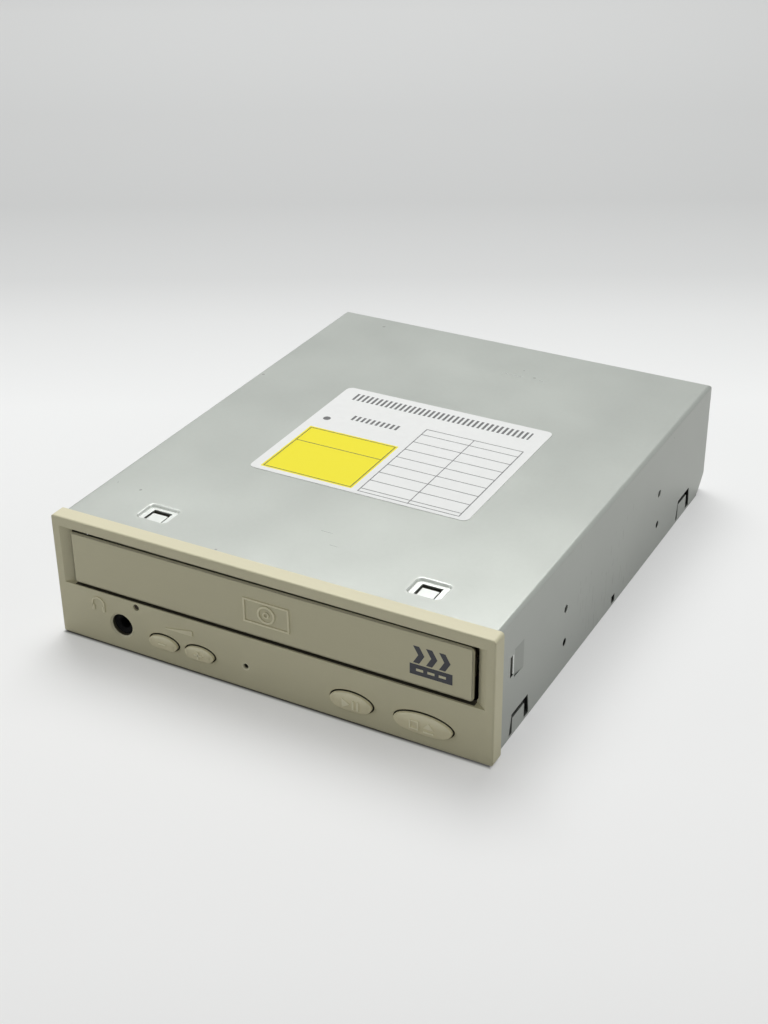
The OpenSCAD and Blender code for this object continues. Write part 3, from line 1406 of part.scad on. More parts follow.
module board_chips() {
    // Place, width, depth and height of each chip, from the board's front edge
    chips = [[-22, 38, 28, 28, 1.8], [14, 34, 18, 11, 2], [16, 50, 16, 9, 1.8], [-46, 18, 11, 11, 1.6],
        [38, 44, 11, 5, 3]];
    color(black) for (c = chips)
        translate([c[0] - c[2] / 2, board_front + c[1] - c[3] / 2, board_top]) cube([c[2], c[3], c[4]]);
}

module ribbon_sockets() {
    sockets = [[0, board_front + 16, 22], [-34, board_front + 6, 12]];
    color("#e6e2d4") for (s = sockets)
        difference() {
            block([s[0] - s[2] / 2, s[0] + s[2] / 2], [s[1] - 2.4, s[1] + 2.4], [board_top, board_top + 1.8]);
            block([s[0] - s[2] / 2 + 1.2, s[0] + s[2] / 2 - 1.2], [s[1] - 3, s[1] + 1.2],
                [board_top + 0.7, board_top + 1.1]);
        }
}

// Open-mouthed shroud of a header: outer box, cavity and floor
module shroud(x, z, w, h, base, floor_y, wall) {
    difference() {
        block([x - w / 2, x + w / 2], [base, mouth_y], [z - h / 2, z + h / 2]);
        block([x - w / 2 + wall, x + w / 2 - wall], [floor_y, mouth_y + 1],
            [z - h / 2 + wall, z + h / 2 - wall]);
    }
}

function data_floor() = data_base + 2.2;
function power_floor() = mouth_y - 10.5;
function audio_floor() = audio_base + 2;
function audio_width(n) = n * pin_pitch + 3.4;

module data_header() {
    color(black) difference() {
        shroud(data_x, data_z, data_w, data_h, data_base, data_floor(), 1.2);
        block([data_x - 2.25, data_x + 2.25], [data_floor(), mouth_y + 1],
            [data_z + data_h / 2 - 2, data_z + data_h]);
    }
}

// Two rows of square pins, with the keying place left empty
module data_pins() {
    color(brass) for (i = [0 : data_columns - 1], j = [0, 1])
        if (!(i == floor(data_columns / 2) && j == 1))
            translate([data_x + (i - (data_columns - 1) / 2) * pin_pitch, 0, data_z + (j - 0.5) * pin_pitch])
                block([-pin_w / 2, pin_w / 2], [data_floor(), mouth_y - 1.4], [-pin_w / 2, pin_w / 2]);
}

// Power header: its upper cavity corners are cut off so that the plug fits one way round
module power_header() {
    w = power_w - 2.2;
    h = power_h - 2.4;
    cut = 2.2;
    color(white_plastic) difference() {
        block([power_x - power_w / 2, power_x + power_w / 2], [power_base, mouth_y],
            [power_z - power_h / 2, power_z + power_h / 2]);
        along_y(power_floor(), mouth_y + 1) translate([power_x, power_z])
            polygon([[-w / 2, -h / 2], [w / 2, -h / 2], [w / 2, h / 2 - cut], [w / 2 - cut, h / 2],
                [cut - w / 2, h / 2], [-w / 2, h / 2 - cut]]);
    }
}

module power_pins() {
    color(brass) for (i = [-1.5 : 1.5])
        bar_y(power_x + i * power_pitch, power_z, power_pin_r, [power_floor(), mouth_y - 2]);
}

module jumper_header() {
    color(black) block([jumper_x - jumper_w / 2, jumper_x + jumper_w / 2], [jumper_base, jumper_base + 2.4],
        [board_top, jumper_z + pin_pitch + 0.2]);
}

module jumper_pins() {
    color(brass) for (i = [0 : jumper_columns - 1], j = [0, 1])
        translate([jumper_x + (i - (jumper_columns - 1) / 2) * pin_pitch, 0,
            jumper_z + (j - 0.5) * pin_pitch])
            block([-pin_w / 2, pin_w / 2], [jumper_base + 2.4, mouth_y - 0.2], [-pin_w / 2, pin_w / 2]);
}

// Shorting cap over the middle pair of jumper pins
module jumper_cap() {
    hole = pin_w + 0.1;
    x = jumper_x;
    color("#2b4f8f") difference() {
        block([x - 1.2, x + 1.2], [mouth_y - 5, mouth_y],
            [jumper_z - pin_pitch + 0.1, jumper_z + pin_pitch - 0.1]);
        for (j = [-0.5, 0.5])
            block([x - hole / 2, x + hole / 2], [mouth_y - 6, mouth_y + 1],
                [jumper_z + j * pin_pitch - hole / 2, jumper_z + j * pin_pitch + hole / 2]);
    }
}

module audio_headers() {
    color(black) {
        shroud(audio_x, audio_z, audio_width(audio_pins_n), audio_h, audio_base, audio_floor(), 0.9);
        shroud(digital_x, audio_z, audio_width(digital_pins_n), audio_h, audio_base, audio_floor(), 0.9);
    }
}

module audio_pins() {
    color(brass) for (row = [[audio_x, audio_pins_n], [digital_x, digital_pins_n]], i = [0 : row[1] - 1])
        translate([row[0] + (i - (row[1] - 1) / 2) * pin_pitch, 0, audio_z])
            block([-pin_w / 2, pin_w / 2], [audio_floor(), mouth_y - 1.2], [-pin_w / 2, pin_w / 2]);
}

place() top_cover();
place() bottom_cover();
place() cover_screws();
place() bezel();
place() tray_front();
place() volume_down_button();
place() volume_up_button();
place() play_button();
place() eject_button();
place() headphone_jack();
place() activity_lamp();
place() front_board();
place() button_switches();
place() loader_frame();
place() disc_tray();
place() tray_drive_gear();
place() pulley_gear();
place() motor_pulley();
place() drive_belt();
place() loading_motor();
place() slide_cam();
place() lift_frame();
place() mechanism_deck();
place() dampers();
place() damper_screws();
place() spindle_motor();
place() spindle_rotor();
place() turntable();
place() turntable_grip();
place() guide_rods();
place() pickup_sled();
place() pickup_cover();
place() lens_holder();
place() objective_lens();
place() sled_rack();
place() sled_motor();
place() sled_motor_pinion();
place() sled_gear();
place() clamp_bridge();
place() clamp_puck();
place() clamp_yoke();
place() main_board();
place() board_screws();
place() board_chips();
place() ribbon_sockets();
place() data_header();
place() data_pins();
place() power_header();
place() power_pins();
place() jumper_header();
place() jumper_pins();
place() jumper_cap();
place() audio_headers();
place() audio_pins();
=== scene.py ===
"""Looks of a half-height disc drive with a sliding tray, dressed over its CAD frame."""
import json
import math

import bpy
from mathutils import Matrix, Vector

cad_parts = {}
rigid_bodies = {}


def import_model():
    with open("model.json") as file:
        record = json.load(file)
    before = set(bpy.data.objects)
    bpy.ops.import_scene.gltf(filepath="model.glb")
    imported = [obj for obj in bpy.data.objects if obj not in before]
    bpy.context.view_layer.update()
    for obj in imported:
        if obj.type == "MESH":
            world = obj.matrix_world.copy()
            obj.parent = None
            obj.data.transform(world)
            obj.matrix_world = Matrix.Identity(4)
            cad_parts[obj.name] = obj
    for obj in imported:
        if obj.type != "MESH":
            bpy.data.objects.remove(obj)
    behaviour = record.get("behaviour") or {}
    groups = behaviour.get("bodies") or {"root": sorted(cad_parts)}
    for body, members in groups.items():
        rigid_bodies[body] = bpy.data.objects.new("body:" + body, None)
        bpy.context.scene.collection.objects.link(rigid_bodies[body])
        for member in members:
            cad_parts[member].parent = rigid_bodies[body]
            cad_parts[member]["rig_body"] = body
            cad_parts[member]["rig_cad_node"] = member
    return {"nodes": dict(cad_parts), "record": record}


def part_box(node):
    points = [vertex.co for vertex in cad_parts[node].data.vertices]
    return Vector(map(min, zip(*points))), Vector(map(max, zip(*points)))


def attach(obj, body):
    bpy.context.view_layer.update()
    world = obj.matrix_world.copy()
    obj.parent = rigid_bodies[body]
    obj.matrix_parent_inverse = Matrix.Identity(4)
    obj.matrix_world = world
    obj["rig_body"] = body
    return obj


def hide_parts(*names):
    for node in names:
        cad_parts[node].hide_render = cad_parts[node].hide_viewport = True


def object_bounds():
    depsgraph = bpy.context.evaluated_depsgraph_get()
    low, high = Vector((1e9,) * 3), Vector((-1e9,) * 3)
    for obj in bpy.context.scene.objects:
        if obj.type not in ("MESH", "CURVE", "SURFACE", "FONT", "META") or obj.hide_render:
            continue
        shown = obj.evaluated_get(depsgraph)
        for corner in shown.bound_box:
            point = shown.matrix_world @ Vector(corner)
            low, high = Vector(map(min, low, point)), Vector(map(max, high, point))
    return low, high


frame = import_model()
cad_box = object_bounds()
nodes = frame["nodes"]
bodies = frame["record"]["behaviour"]["bodies"]
body_of = {node: body for body, members in bodies.items() for node in members}

# Studio. The drive stands on a seamless pale sheet, with one large soft box above and behind on the left
# and the pale room around it; the camera looks down on its right front corner.
camera_place = (0.22363, -0.42460, 0.28979)
camera_turn = math.radians(28.62)
camera_tilt = math.radians(90 - 29.6)
camera_roll = math.radians(-0.56)
camera_data = bpy.data.cameras.new("camera")
camera_data.sensor_width = 36
camera_data.lens = 58.43
camera = bpy.data.objects.new("camera", camera_data)
bpy.context.scene.collection.objects.link(camera)
camera.matrix_world = (Matrix.Translation(camera_place) @ Matrix.Rotation(camera_turn, 4, "Z")
                       @ Matrix.Rotation(camera_tilt, 4, "X") @ Matrix.Rotation(camera_roll, 4, "Z"))
bpy.context.scene.camera = camera
bpy.context.scene.view_settings.view_transform = "Standard"


class Shade:
    """A socket in a material: sums and products of it add Math nodes, and add() gives any other node."""

    def __init__(self, tree, socket=None):
        self.tree = tree
        self.socket = socket

    def add(self, kind, settings=(), sockets=(), output=0):
        node = self.tree.nodes.new(kind)
        for name, value in dict(settings).items():
            if name == "stops":
                for _ in value[2:]:
                    node.color_ramp.elements.new(1)
                for stop, (place, colour) in zip(node.color_ramp.elements, value):
                    stop.position = place
                    stop.color = (*colour, 1)
            else:
                setattr(node, name, value)
        for name, value in dict(sockets).items():
            if isinstance(value, Shade):
                self.tree.links.new(value.socket, node.inputs[name])
            else:
                node.inputs[name].default_value = value
        return Shade(self.tree, node.outputs[output])

    def math(self, operation, *others):
        """This value, with the others after it, through a Math node."""
        return self.add("ShaderNodeMath", {"operation": operation}, enumerate((self, *others)))

    def mix(self, first, second):
        """Colour between two others, by this value."""
        pair = [value if isinstance(value, Shade) else (*value, 1) for value in (first, second)]
        return self.add("ShaderNodeMix", {"data_type": "RGBA"}, {0: self, 6: pair[0], 7: pair[1]}, 2)

    def ramp(self, low, high):
        """This value spread from 0 at low to 1 at high."""
        return self.add("ShaderNodeMapRange", {}, {0: self, 1: low, 2: high})

    def within(self, low, high):
        """1 where this value lies between both limits, otherwise 0."""
        return (self > low) * (self < high)

    def axis(self, letter):
        """One coordinate of this place or direction."""
        return self.add("ShaderNodeSeparateXYZ", {}, {0: self}, letter)

    def feed(self, node, name):
        self.tree.links.new(self.socket, node.inputs[name])

    def __add__(self, other):
        return self.math("ADD", other)

    def __sub__(self, other):
        return self.math("SUBTRACT", other)

    def __rsub__(self, other):
        return self.math("MULTIPLY_ADD", -1, other)

    def __mul__(self, other):
        return self.math("MULTIPLY", other)

    def __pow__(self, power):
        return self.math("POWER", power)

    def __lt__(self, other):
        return self.math("LESS_THAN", other)

    def __gt__(self, other):
        return self.math("GREATER_THAN", other)

    def __abs__(self):
        return self.math("ABSOLUTE")

    __radd__ = __add__
    __rmul__ = __mul__


def pale_ray(shade, share):
    """Share of the pale tone for a ray that looks at the room itself, or at its mirror image."""
    seen, mirrored, through = (shade.add("ShaderNodeLightPath", output=name)
                               for name in ("Is Camera Ray", "Is Glossy Ray", "Is Transmission Ray"))
    return (seen + mirrored + through) * share


sheet_size = 9
bpy.ops.object.select_all(action="DESELECT")
bpy.ops.mesh.primitive_plane_add(size=1)
floor = bpy.context.active_object
floor.name = "floor"
bpy.ops.object.mode_set(mode="EDIT")
bpy.ops.transform.resize(value=(sheet_size, sheet_size, 1))
bpy.ops.mesh.subdivide(number_cuts=3)
bpy.ops.object.mode_set(mode="OBJECT")
sheet = bpy.data.materials.new("pale_sheet")
sheet.use_nodes = True
shade = Shade(sheet.node_tree)
place = shade.add("ShaderNodeTexCoord", output="Object")
across = place.axis("X")
along = place.axis("Y")

# The sheet fades with the distance from the camera; each row is a share of that way, red, green and blue.
far_tones = (
    (0.00, 0.800, 0.800, 0.800), (0.06, 0.850, 0.850, 0.850), (0.14, 0.865, 0.865, 0.865),
    (0.35, 0.845, 0.850, 0.850), (0.43, 0.727, 0.732, 0.732), (0.48, 0.625, 0.630, 0.630),
    (0.58, 0.544, 0.549, 0.549), (0.74, 0.577, 0.582, 0.582), (1.00, 0.690, 0.695, 0.695),
)
nearest, farthest = -0.25, 0.80
away = along * math.cos(camera_turn) - across * math.sin(camera_turn)
far = shade.add("ShaderNodeValToRGB", {"stops": [(share, tone) for share, *tone in far_tones]},
                {0: away.ramp(nearest, farthest)})

# The drive touches the sheet at the front, where a thin dark line is painted on it as a painted contact
# shadow and its glow is cut; beside the drive's right side the sheet glows brighter, a painted pool of
# light.
bezel_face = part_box("bezel")[0].y
cover_side, cover_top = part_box("top_cover")[1].xz
rear = cad_box[1].y
beside = abs(across) - cover_side
before = abs(along - (bezel_face + rear) / 2) - (rear - bezel_face) / 2
apart = beside.math("MAXIMUM", before)
front_strip, line_start, line_end, line_clear = 0.004, 0.0002, 0.0012, 0.0015
contact_shadow_share, right_glow_share, pale_share = 0.85, 0.16, 0.36
in_front = along < bezel_face + front_strip
clear = 1 - in_front * (1 - apart.ramp(0.0, line_clear))
painted_contact_shadow = in_front * (1 - apart.ramp(line_start, line_end)) * contact_shadow_share
beside_it = along.ramp(bezel_face - 0.03, bezel_face + 0.04) - along.ramp(rear - 0.01, rear + 0.04)
painted_right_glow = beside_it * across.ramp(0.04, 0.07) * (1 - beside.ramp(0.0, 0.045)) * right_glow_share
seen = shade.add("ShaderNodeLightPath", output="Is Camera Ray")
tone = seen.mix((0.56, 0.56, 0.55), painted_contact_shadow.mix(far, (0.03, 0.03, 0.03)))
lit = shade.add("ShaderNodeBsdfDiffuse", sockets={"Color": tone})
glow = shade.add("ShaderNodeEmission", sockets={"Color": far, "Strength": 1.0})
glowing = pale_ray(shade, pale_share) * clear + seen * painted_right_glow
shown = shade.add("ShaderNodeMixShader", sockets={0: glowing, 1: lit, 2: glow})
shown.feed(sheet.node_tree.nodes["Material Output"], "Surface")
floor.data.materials.append(sheet)

world = bpy.data.worlds.new("room")
bpy.context.scene.world = world
world.use_nodes = True
shade = Shade(world.node_tree)
height = shade.add("ShaderNodeTexCoord", output="Generated").axis("Z")
tone = height.ramp(0.25, 0.75).mix((0.70, 0.72, 0.72), (0.54, 0.55, 0.53))
room = shade.add("ShaderNodeBackground", sockets={"Color": (0.98, 1.0, 0.96, 1), "Strength": 0.27})
wall = shade.add("ShaderNodeBackground", sockets={"Color": tone, "Strength": 1.0})
shown = shade.add("ShaderNodeMixShader", sockets={0: pale_ray(shade, 1.0), 1: room, 2: wall})
shown.feed(world.node_tree.nodes["World Output"], "Surface")

lamps = (
    ("soft_box", (-0.26, 0.40, 1.04), 0.7, 11.1),
    ("fill", (1.1, 0.1, 0.5), 0.7, 1.8),
    ("front_fill", (-1.0, -0.8, 0.4), 0.6, 1.5),
)
for name, spot, size, watts in lamps:
    lamp = bpy.data.lights.new(name, "AREA")
    lamp.size = size
    lamp.energy = watts
    holder = bpy.data.objects.new(name, lamp)
    bpy.context.scene.collection.objects.link(holder)
    holder.location = spot
    holder.rotation_euler = (-Vector(spot)).to_track_quat("-Z", "Y").to_euler()


# Bottom cover. A pressed pan of zinc-plated sheet steel with a drawn panel, mounting holes and side
# tabs; its edges are sheared, so they catch a thin line of light.
def start_material(name, settings):
    """A new material whose shader has these fixed values on its own sockets, and the place on the piece."""
    material = bpy.data.materials.new(name)
    material.use_nodes = True
    shader = material.node_tree.nodes["Principled BSDF"]
    for socket, value in settings.items():
        shader.inputs[socket].default_value = value
    return material, shader, Shade(material.node_tree).add("ShaderNodeTexCoord", output="Object")


def noise(place, scale, detail, roughness=0.55):
    return place.add("ShaderNodeTexNoise", {}, {"Vector": place, "Scale": scale, "Detail": detail,
                                                "Roughness": roughness}, "Fac")


def cells(place, scale):
    """Distance from the middle of the nearest of many scattered cells."""
    return place.add("ShaderNodeTexVoronoi", {}, {"Vector": place, "Scale": scale}, "Distance")


def relief(height, shader, strength, distance):
    """Fine relief of a surface, as a Bump node on the shader's normal."""
    height.add("ShaderNodeBump", {}, {"Height": height, "Strength": strength, "Distance": distance},
               "Normal").feed(shader, "Normal")


def shift(tone, factor):
    """A lighter or darker shade of a tone."""
    return tuple(min(1, value * factor) for value in tone)


def zinc_sheet(name, tone, scratched):
    """Plated sheet: soft mottling, dull specks and, on the outside, fine scratches."""
    material, shader, place = start_material(name, {"Metallic": 0.7})
    cloud = noise(place, scale=26, detail=4)
    grain = noise(place, scale=700, detail=2)
    level = abs(place.add("ShaderNodeTexCoord", output="Normal").axis("Z")) > 0.5
    upright = place.add("ShaderNodeMapping", sockets={"Vector": place, "Scale": (900, 900, 130)})
    slanted = place.add("ShaderNodeMapping", sockets={"Vector": place, "Rotation": (0, 0, 0.5),
                                                      "Scale": (25, 900, 1)})
    amid = abs(place.axis("Y")) < 0.032
    worn = (noise(place, scale=22, detail=2) > 0.58) * scratched
    scratch = level * (noise(slanted, scale=1.0, detail=1) > 0.77) * worn
    rubbed = (1 - level) * (noise(upright, scale=1.0, detail=1) > 0.67) * amid * worn
    speck = (cells(place, scale=95) < 0.06) * (noise(place, scale=60, detail=1) > 0.60)
    colour = (cloud * 0.75 + grain * 0.25).ramp(0.3, 0.7).mix(shift(tone, 0.95), shift(tone, 1.04))
    colour = (scratch * 0.14).mix(colour, (0.80, 0.81, 0.79))
    colour = (rubbed * 0.20).mix(colour, (0.16, 0.17, 0.15))
    colour = (speck * 0.55).mix(colour, (0.16, 0.16, 0.15))
    colour.feed(shader, "Base Color")
    (0.26 + cloud * 0.08 + grain * 0.06 + speck * 0.2 - scratch * 0.08).feed(shader, "Roughness")
    waves = noise(place, scale=9, detail=1) * 0.10 + grain * 0.02
    relief(waves - (scratch + rubbed) * 0.05, shader, strength=0.2, distance=0.0006)
    return material


def paint(material, *names):
    for name in names:
        nodes[name].data.materials.clear()
        nodes[name].data.materials.append(material)


def dress(name, material, edge, wide=0.0, chosen=None):
    """A copy of a CAD node with softened edges, which is shown in its place. The edges whose two ends
    are chosen get a wide rounding first."""
    bpy.ops.object.select_all(action="DESELECT")
    nodes[name].select_set(True)
    bpy.context.view_layer.objects.active = nodes[name]
    bpy.ops.object.duplicate()
    piece = bpy.context.active_object
    piece.name = name + "_finish"
    piece.parent = None
    del piece["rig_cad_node"]
    del piece["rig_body"]
    bpy.ops.mesh.customdata_custom_splitnormals_clear()
    bpy.ops.object.mode_set(mode="EDIT")
    bpy.ops.mesh.select_all(action="SELECT")
    bpy.ops.mesh.remove_doubles(threshold=2e-6)
    bpy.ops.mesh.dissolve_limited(angle_limit=math.radians(0.4))
    if chosen:
        bpy.ops.mesh.select_mode(type="EDGE")
        bpy.ops.mesh.select_all(action="DESELECT")
        bpy.ops.object.mode_set(mode="OBJECT")
        for line in piece.data.edges:
            line.select = all(chosen(piece.data.vertices[end].co) for end in line.vertices)
        bpy.ops.object.mode_set(mode="EDIT")
        bpy.ops.mesh.bevel(offset=wide, segments=3, affect="EDGES")
    bpy.ops.object.mode_set(mode="OBJECT")
    bevel = piece.modifiers.new("edges", "BEVEL")
    bevel.width = edge
    bevel.segments = 2
    bevel.limit_method = "ANGLE"
    bevel.angle_limit = math.radians(40)
    bevel.use_clamp_overlap = False
    bpy.ops.object.modifier_apply(modifier="edges")
    bpy.ops.object.shade_smooth_by_angle(angle=math.radians(35))
    flats = piece.modifiers.new("flats", "WEIGHTED_NORMAL")
    flats.weight = 100
    flats.keep_sharp = True
    bpy.ops.object.modifier_apply(modifier="flats")
    piece.data.materials.clear()
    piece.data.materials.append(material)
    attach(piece, body_of[name])
    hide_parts(name)
    return piece


zinc_tone = (0.46, 0.48, 0.45)
bottom_steel = zinc_sheet("bottom_steel", zinc_tone, scratched=0.5)
dress("bottom_cover", bottom_steel, edge=0.00012)


# Main board and front board. Glass laminate under green solder mask, with fine copper tracks, and the
# chips and ribbon sockets soldered on it.
def laminate(name):
    """Solder mask over tracks that run one way or the other, with tinned holes."""
    material, shader, place = start_material(name, {"Metallic": 0.0, "Specular IOR Level": 0.5})
    tracks_per_metre, track_share = 900, 0.38
    tracks_x, tracks_y = ((place.axis(letter) * tracks_per_metre).math("FRACT") < track_share
                          for letter in "XY")
    patch = noise(place, scale=90, detail=0) > 0.5
    track = patch * tracks_x + (1 - patch) * tracks_y
    track = track * (noise(place, scale=55, detail=1) > 0.45)
    weave = noise(place, scale=1500, detail=1)
    holes = cells(place, scale=210) < 0.09
    colour = weave.mix((0.022, 0.135, 0.062), (0.03, 0.165, 0.075))
    colour = (track * 0.8).mix(colour, (0.06, 0.26, 0.11))
    colour = (holes * 0.85).mix(colour, (0.62, 0.62, 0.58))
    colour.feed(shader, "Base Color")
    (0.34 + weave * 0.10 - holes * 0.1).feed(shader, "Roughness")
    (holes * 0.8).feed(shader, "Metallic")
    relief(track * 0.6 + weave * 0.2, shader, strength=0.35, distance=0.0002)
    return material


def moulding(name, tone, rough, grain, depth, spread, fleck=None, shine=0.45):
    """Moulded plastic: fine sparked texture, slow change of shade and dull and bright patches."""
    material, shader, place = start_material(name, {"Specular IOR Level": shine})
    slow = noise(place, scale=14, detail=3)
    fine = noise(place, scale=grain, detail=2, roughness=0.6)
    dark, light = shift(tone, 1 - spread), shift(tone, 1 + spread)
    colour = (slow * 0.8 + fine * 0.2).ramp(0.25, 0.75).mix(dark, light)
    if fleck:
        colour = ((cells(place, scale=900) < 0.16) * 0.5).mix(colour, fleck)
    colour.feed(shader, "Base Color")
    (rough - 0.06 + slow * 0.08 + fine * 0.06).feed(shader, "Roughness")
    relief(fine, shader, strength=0.25, distance=depth)
    return material


board_finish = laminate("green_laminate")
chip_finish = moulding("chip_epoxy", (0.022, 0.022, 0.024),
                       rough=0.48, grain=1800, depth=0.00008, spread=0.15)
white_nylon = moulding("white_nylon", (0.74, 0.72, 0.65),
                       rough=0.42, grain=900, depth=0.00006, spread=0.05)
paint(board_finish, "main_board", "front_board")
dress("board_chips", chip_finish, edge=0.00018)
dress("ribbon_sockets", white_nylon, edge=0.00015)

# Rear connectors. Black and white nylon bodies soldered on the rear edge of the board, with bright
# brass pins, and a blue cap pushed over one pair of jumper pins.
black_moulding = moulding("black_moulding", (0.020, 0.020, 0.021),
                          rough=0.46, grain=1300, depth=0.00008, spread=0.2)
blue_moulding = moulding("blue_moulding", (0.025, 0.075, 0.30),
                         rough=0.40, grain=1300, depth=0.00006, spread=0.1)


def bright_metal(name, tone, rough, stretch):
    """Drawn or turned metal with fine marks along the draw."""
    material, shader, place = start_material(name, {"Metallic": 1.0})
    drawn = place.add("ShaderNodeMapping", sockets={"Vector": place, "Scale": stretch})
    marks = noise(drawn, scale=40, detail=3)
    cloud = noise(place, scale=60, detail=2)
    (marks * 0.7 + cloud * 0.3).ramp(0.3, 0.7).mix(shift(tone, 0.82), tone).feed(shader, "Base Color")
    (rough - 0.05 + marks * 0.10 + cloud * 0.05).feed(shader, "Roughness")
    relief(marks, shader, strength=0.15, distance=0.00008)
    return material


brass_finish = bright_metal("turned_brass", (0.80, 0.60, 0.26), rough=0.28, stretch=(40, 4, 40))
for name in ("data_header", "audio_headers", "jumper_header"):
    dress(name, black_moulding, edge=0.00018)
dress("power_header", white_nylon, edge=0.00025)
dress("jumper_cap", blue_moulding, edge=0.0002)
for name in ("data_pins", "power_pins", "jumper_pins", "audio_pins"):
    dress(name, brass_finish, edge=0.00012)

# Board screws, cover screws and damper screws. Plated pan-head screws with a cross recess, turned into
# the bosses of the loader frame and the lift frame.
screw_finish = bright_metal("plated_screw", (0.52, 0.53, 0.50), rough=0.30, stretch=(20, 20, 90))
for name in ("board_screws", "cover_screws", "damper_screws"):
    dress(name, screw_finish, edge=0.00015)

# Loader frame with its motor, belt and gears. A dark glass-filled moulding carries the tray's rails;
# the can motor turns a brass pulley, and the belt turns white low-friction gears.
frame_finish = moulding("glass_filled", (0.030, 0.030, 0.032), rough=0.55, grain=1100,
                        depth=0.00012, spread=0.15, fleck=(0.06, 0.06, 0.062))
gear_finish = moulding("gear_acetal", (0.78, 0.76, 0.69),
                       rough=0.34, grain=700, depth=0.00005, spread=0.04)
can_finish = bright_metal("motor_can", (0.50, 0.51, 0.49), rough=0.30, stretch=(60, 60, 5))
belt_finish = moulding("belt_rubber", (0.016, 0.016, 0.017),
                       rough=0.62, grain=1500, depth=0.0001, spread=0.2)
paint(frame_finish, "loader_frame", "lift_frame")
paint(belt_finish, "drive_belt", "dampers", "turntable_grip")
for name in ("tray_drive_gear", "pulley_gear", "slide_cam"):
    dress(name, gear_finish, edge=0.00012)
dress("loading_motor", can_finish, edge=0.00025)
dress("motor_pulley", brass_finish, edge=0.0001)

# Mechanism with spindle, rods and pickup. A pressed deck hangs on rubber dampers in the lift frame; the
# cast sled runs on two ground rods, with its lens in a small holder under a thin cover.
deck_steel = zinc_sheet("deck_steel", (0.43, 0.45, 0.43), scratched=0.3)
cast_finish = moulding("cast_sled", (0.40, 0.41, 0.42),
                       rough=0.42, grain=500, depth=0.0002, spread=0.08)
rod_finish = bright_metal("ground_rod", (0.66, 0.67, 0.66), rough=0.16, stretch=(80, 3, 80))
dress("mechanism_deck", deck_steel, edge=0.0001)
dress("pickup_sled", cast_finish, edge=0.0002)
for name in ("spindle_motor", "spindle_rotor", "sled_motor", "pickup_cover"):
    dress(name, can_finish, edge=0.00015)
paint(rod_finish, "guide_rods")
dress("turntable", black_moulding, edge=0.00015)
dress("lens_holder", black_moulding, edge=0.0001)
for name in ("sled_rack", "sled_gear"):
    dress(name, gear_finish, edge=0.0001)
paint(brass_finish, "sled_motor_pinion")
lens_finish, shader, place = start_material("coated_lens", {
    "Transmission Weight": 0.75, "Roughness": 0.03, "IOR": 1.52,
    "Coat Weight": 0.6, "Coat Tint": (0.45, 0.62, 1.0, 1)})
colour = noise(place, scale=300, detail=1).mix((0.42, 0.56, 0.80), (0.52, 0.66, 0.88))
colour.feed(shader, "Base Color")
paint(lens_finish, "objective_lens")

# Disc tray and tray front. One moulding in the bezel's beige plastic carries the disc; the front plate
# clips over its end, with an embossed frame round a ring in the middle and a small grey print at right.
beige_tone = (0.665, 0.625, 0.445)
beige = moulding("beige_plastic", beige_tone, rough=0.50, grain=2200, depth=0.00012, spread=0.035)
# Raised strokes are a lighter tone of the same plastic: a painted highlight on their raised edges.
stroke = moulding("raised_stroke", (0.80, 0.75, 0.55),
                  rough=0.40, grain=2200, depth=0.00006, spread=0.03)
dress("disc_tray", beige, edge=0.0003)


def repaint(material):
    """The shader of a finished material, its colour so far and the three coordinates on the piece."""
    shader = material.node_tree.nodes["Principled BSDF"]
    plain = Shade(material.node_tree, shader.inputs["Base Color"].links[0].from_socket)
    place = plain.add("ShaderNodeTexCoord", output="Object")
    return shader, plain, place.axis("X"), place.axis("Y"), place.axis("Z")


tray_low, tray_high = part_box("tray_front")
tray_face = tray_low.y
front_plastic = moulding("front_plastic", (0.625, 0.588, 0.415),
                         rough=0.50, grain=2200, depth=0.00012, spread=0.035)
shader, plain, x, y, z = repaint(front_plastic)
# The front plate's edge band, deeper than its face, is painted nearly black: painted shade in the gap round
# the plate.
rim_width, gap_shade_start = 0.0006, 0.0004
rim = (abs(x) > tray_high.x - rim_width) + (z > tray_high.z - rim_width) + (z < tray_low.z + rim_width)
painted_gap_shade = rim.math("MINIMUM", 1) * (y - tray_face > gap_shade_start)
(painted_gap_shade * 0.85).mix(plain, (0.04, 0.036, 0.025)).feed(shader, "Base Color")
dress("tray_front", front_plastic, edge=0.00015)


def start_flat(name, x, z, face, wide, tall, corners=0):
    """A flat outline that faces forward, in edit mode: a rectangle, or a figure with that many corners."""
    bpy.ops.object.select_all(action="DESELECT")
    place = {"location": (x, face, z), "rotation": (math.pi / 2, 0, 0)}
    if corners:
        bpy.ops.mesh.primitive_circle_add(vertices=corners, radius=0.5, fill_type="NGON", **place)
    else:
        bpy.ops.mesh.primitive_plane_add(size=1, **place)
    piece = bpy.context.active_object
    piece.name = name
    piece.scale = (wide, tall, 1)
    bpy.ops.object.transform_apply(location=True, rotation=True, scale=True)
    bpy.ops.object.mode_set(mode="EDIT")
    bpy.ops.mesh.select_all(action="SELECT")
    return piece


def choose(piece, wanted):
    """Leaves the wanted corners of the edited outline selected, with the sides between them."""
    bpy.ops.mesh.select_mode(type="VERT")
    bpy.ops.mesh.select_all(action="DESELECT")
    bpy.ops.object.mode_set(mode="OBJECT")
    corners = piece.data.vertices
    for corner in corners:
        corner.select = wanted(corner.co)
    for side in piece.data.edges:
        side.select = all(corners[end].select for end in side.vertices)
    bpy.ops.object.mode_set(mode="EDIT")


def hollow(rim):
    """Leaves a rim of the outline that is being edited."""
    bpy.ops.mesh.select_all(action="SELECT")
    bpy.ops.mesh.inset(thickness=rim)
    bpy.ops.mesh.delete(type="FACE")


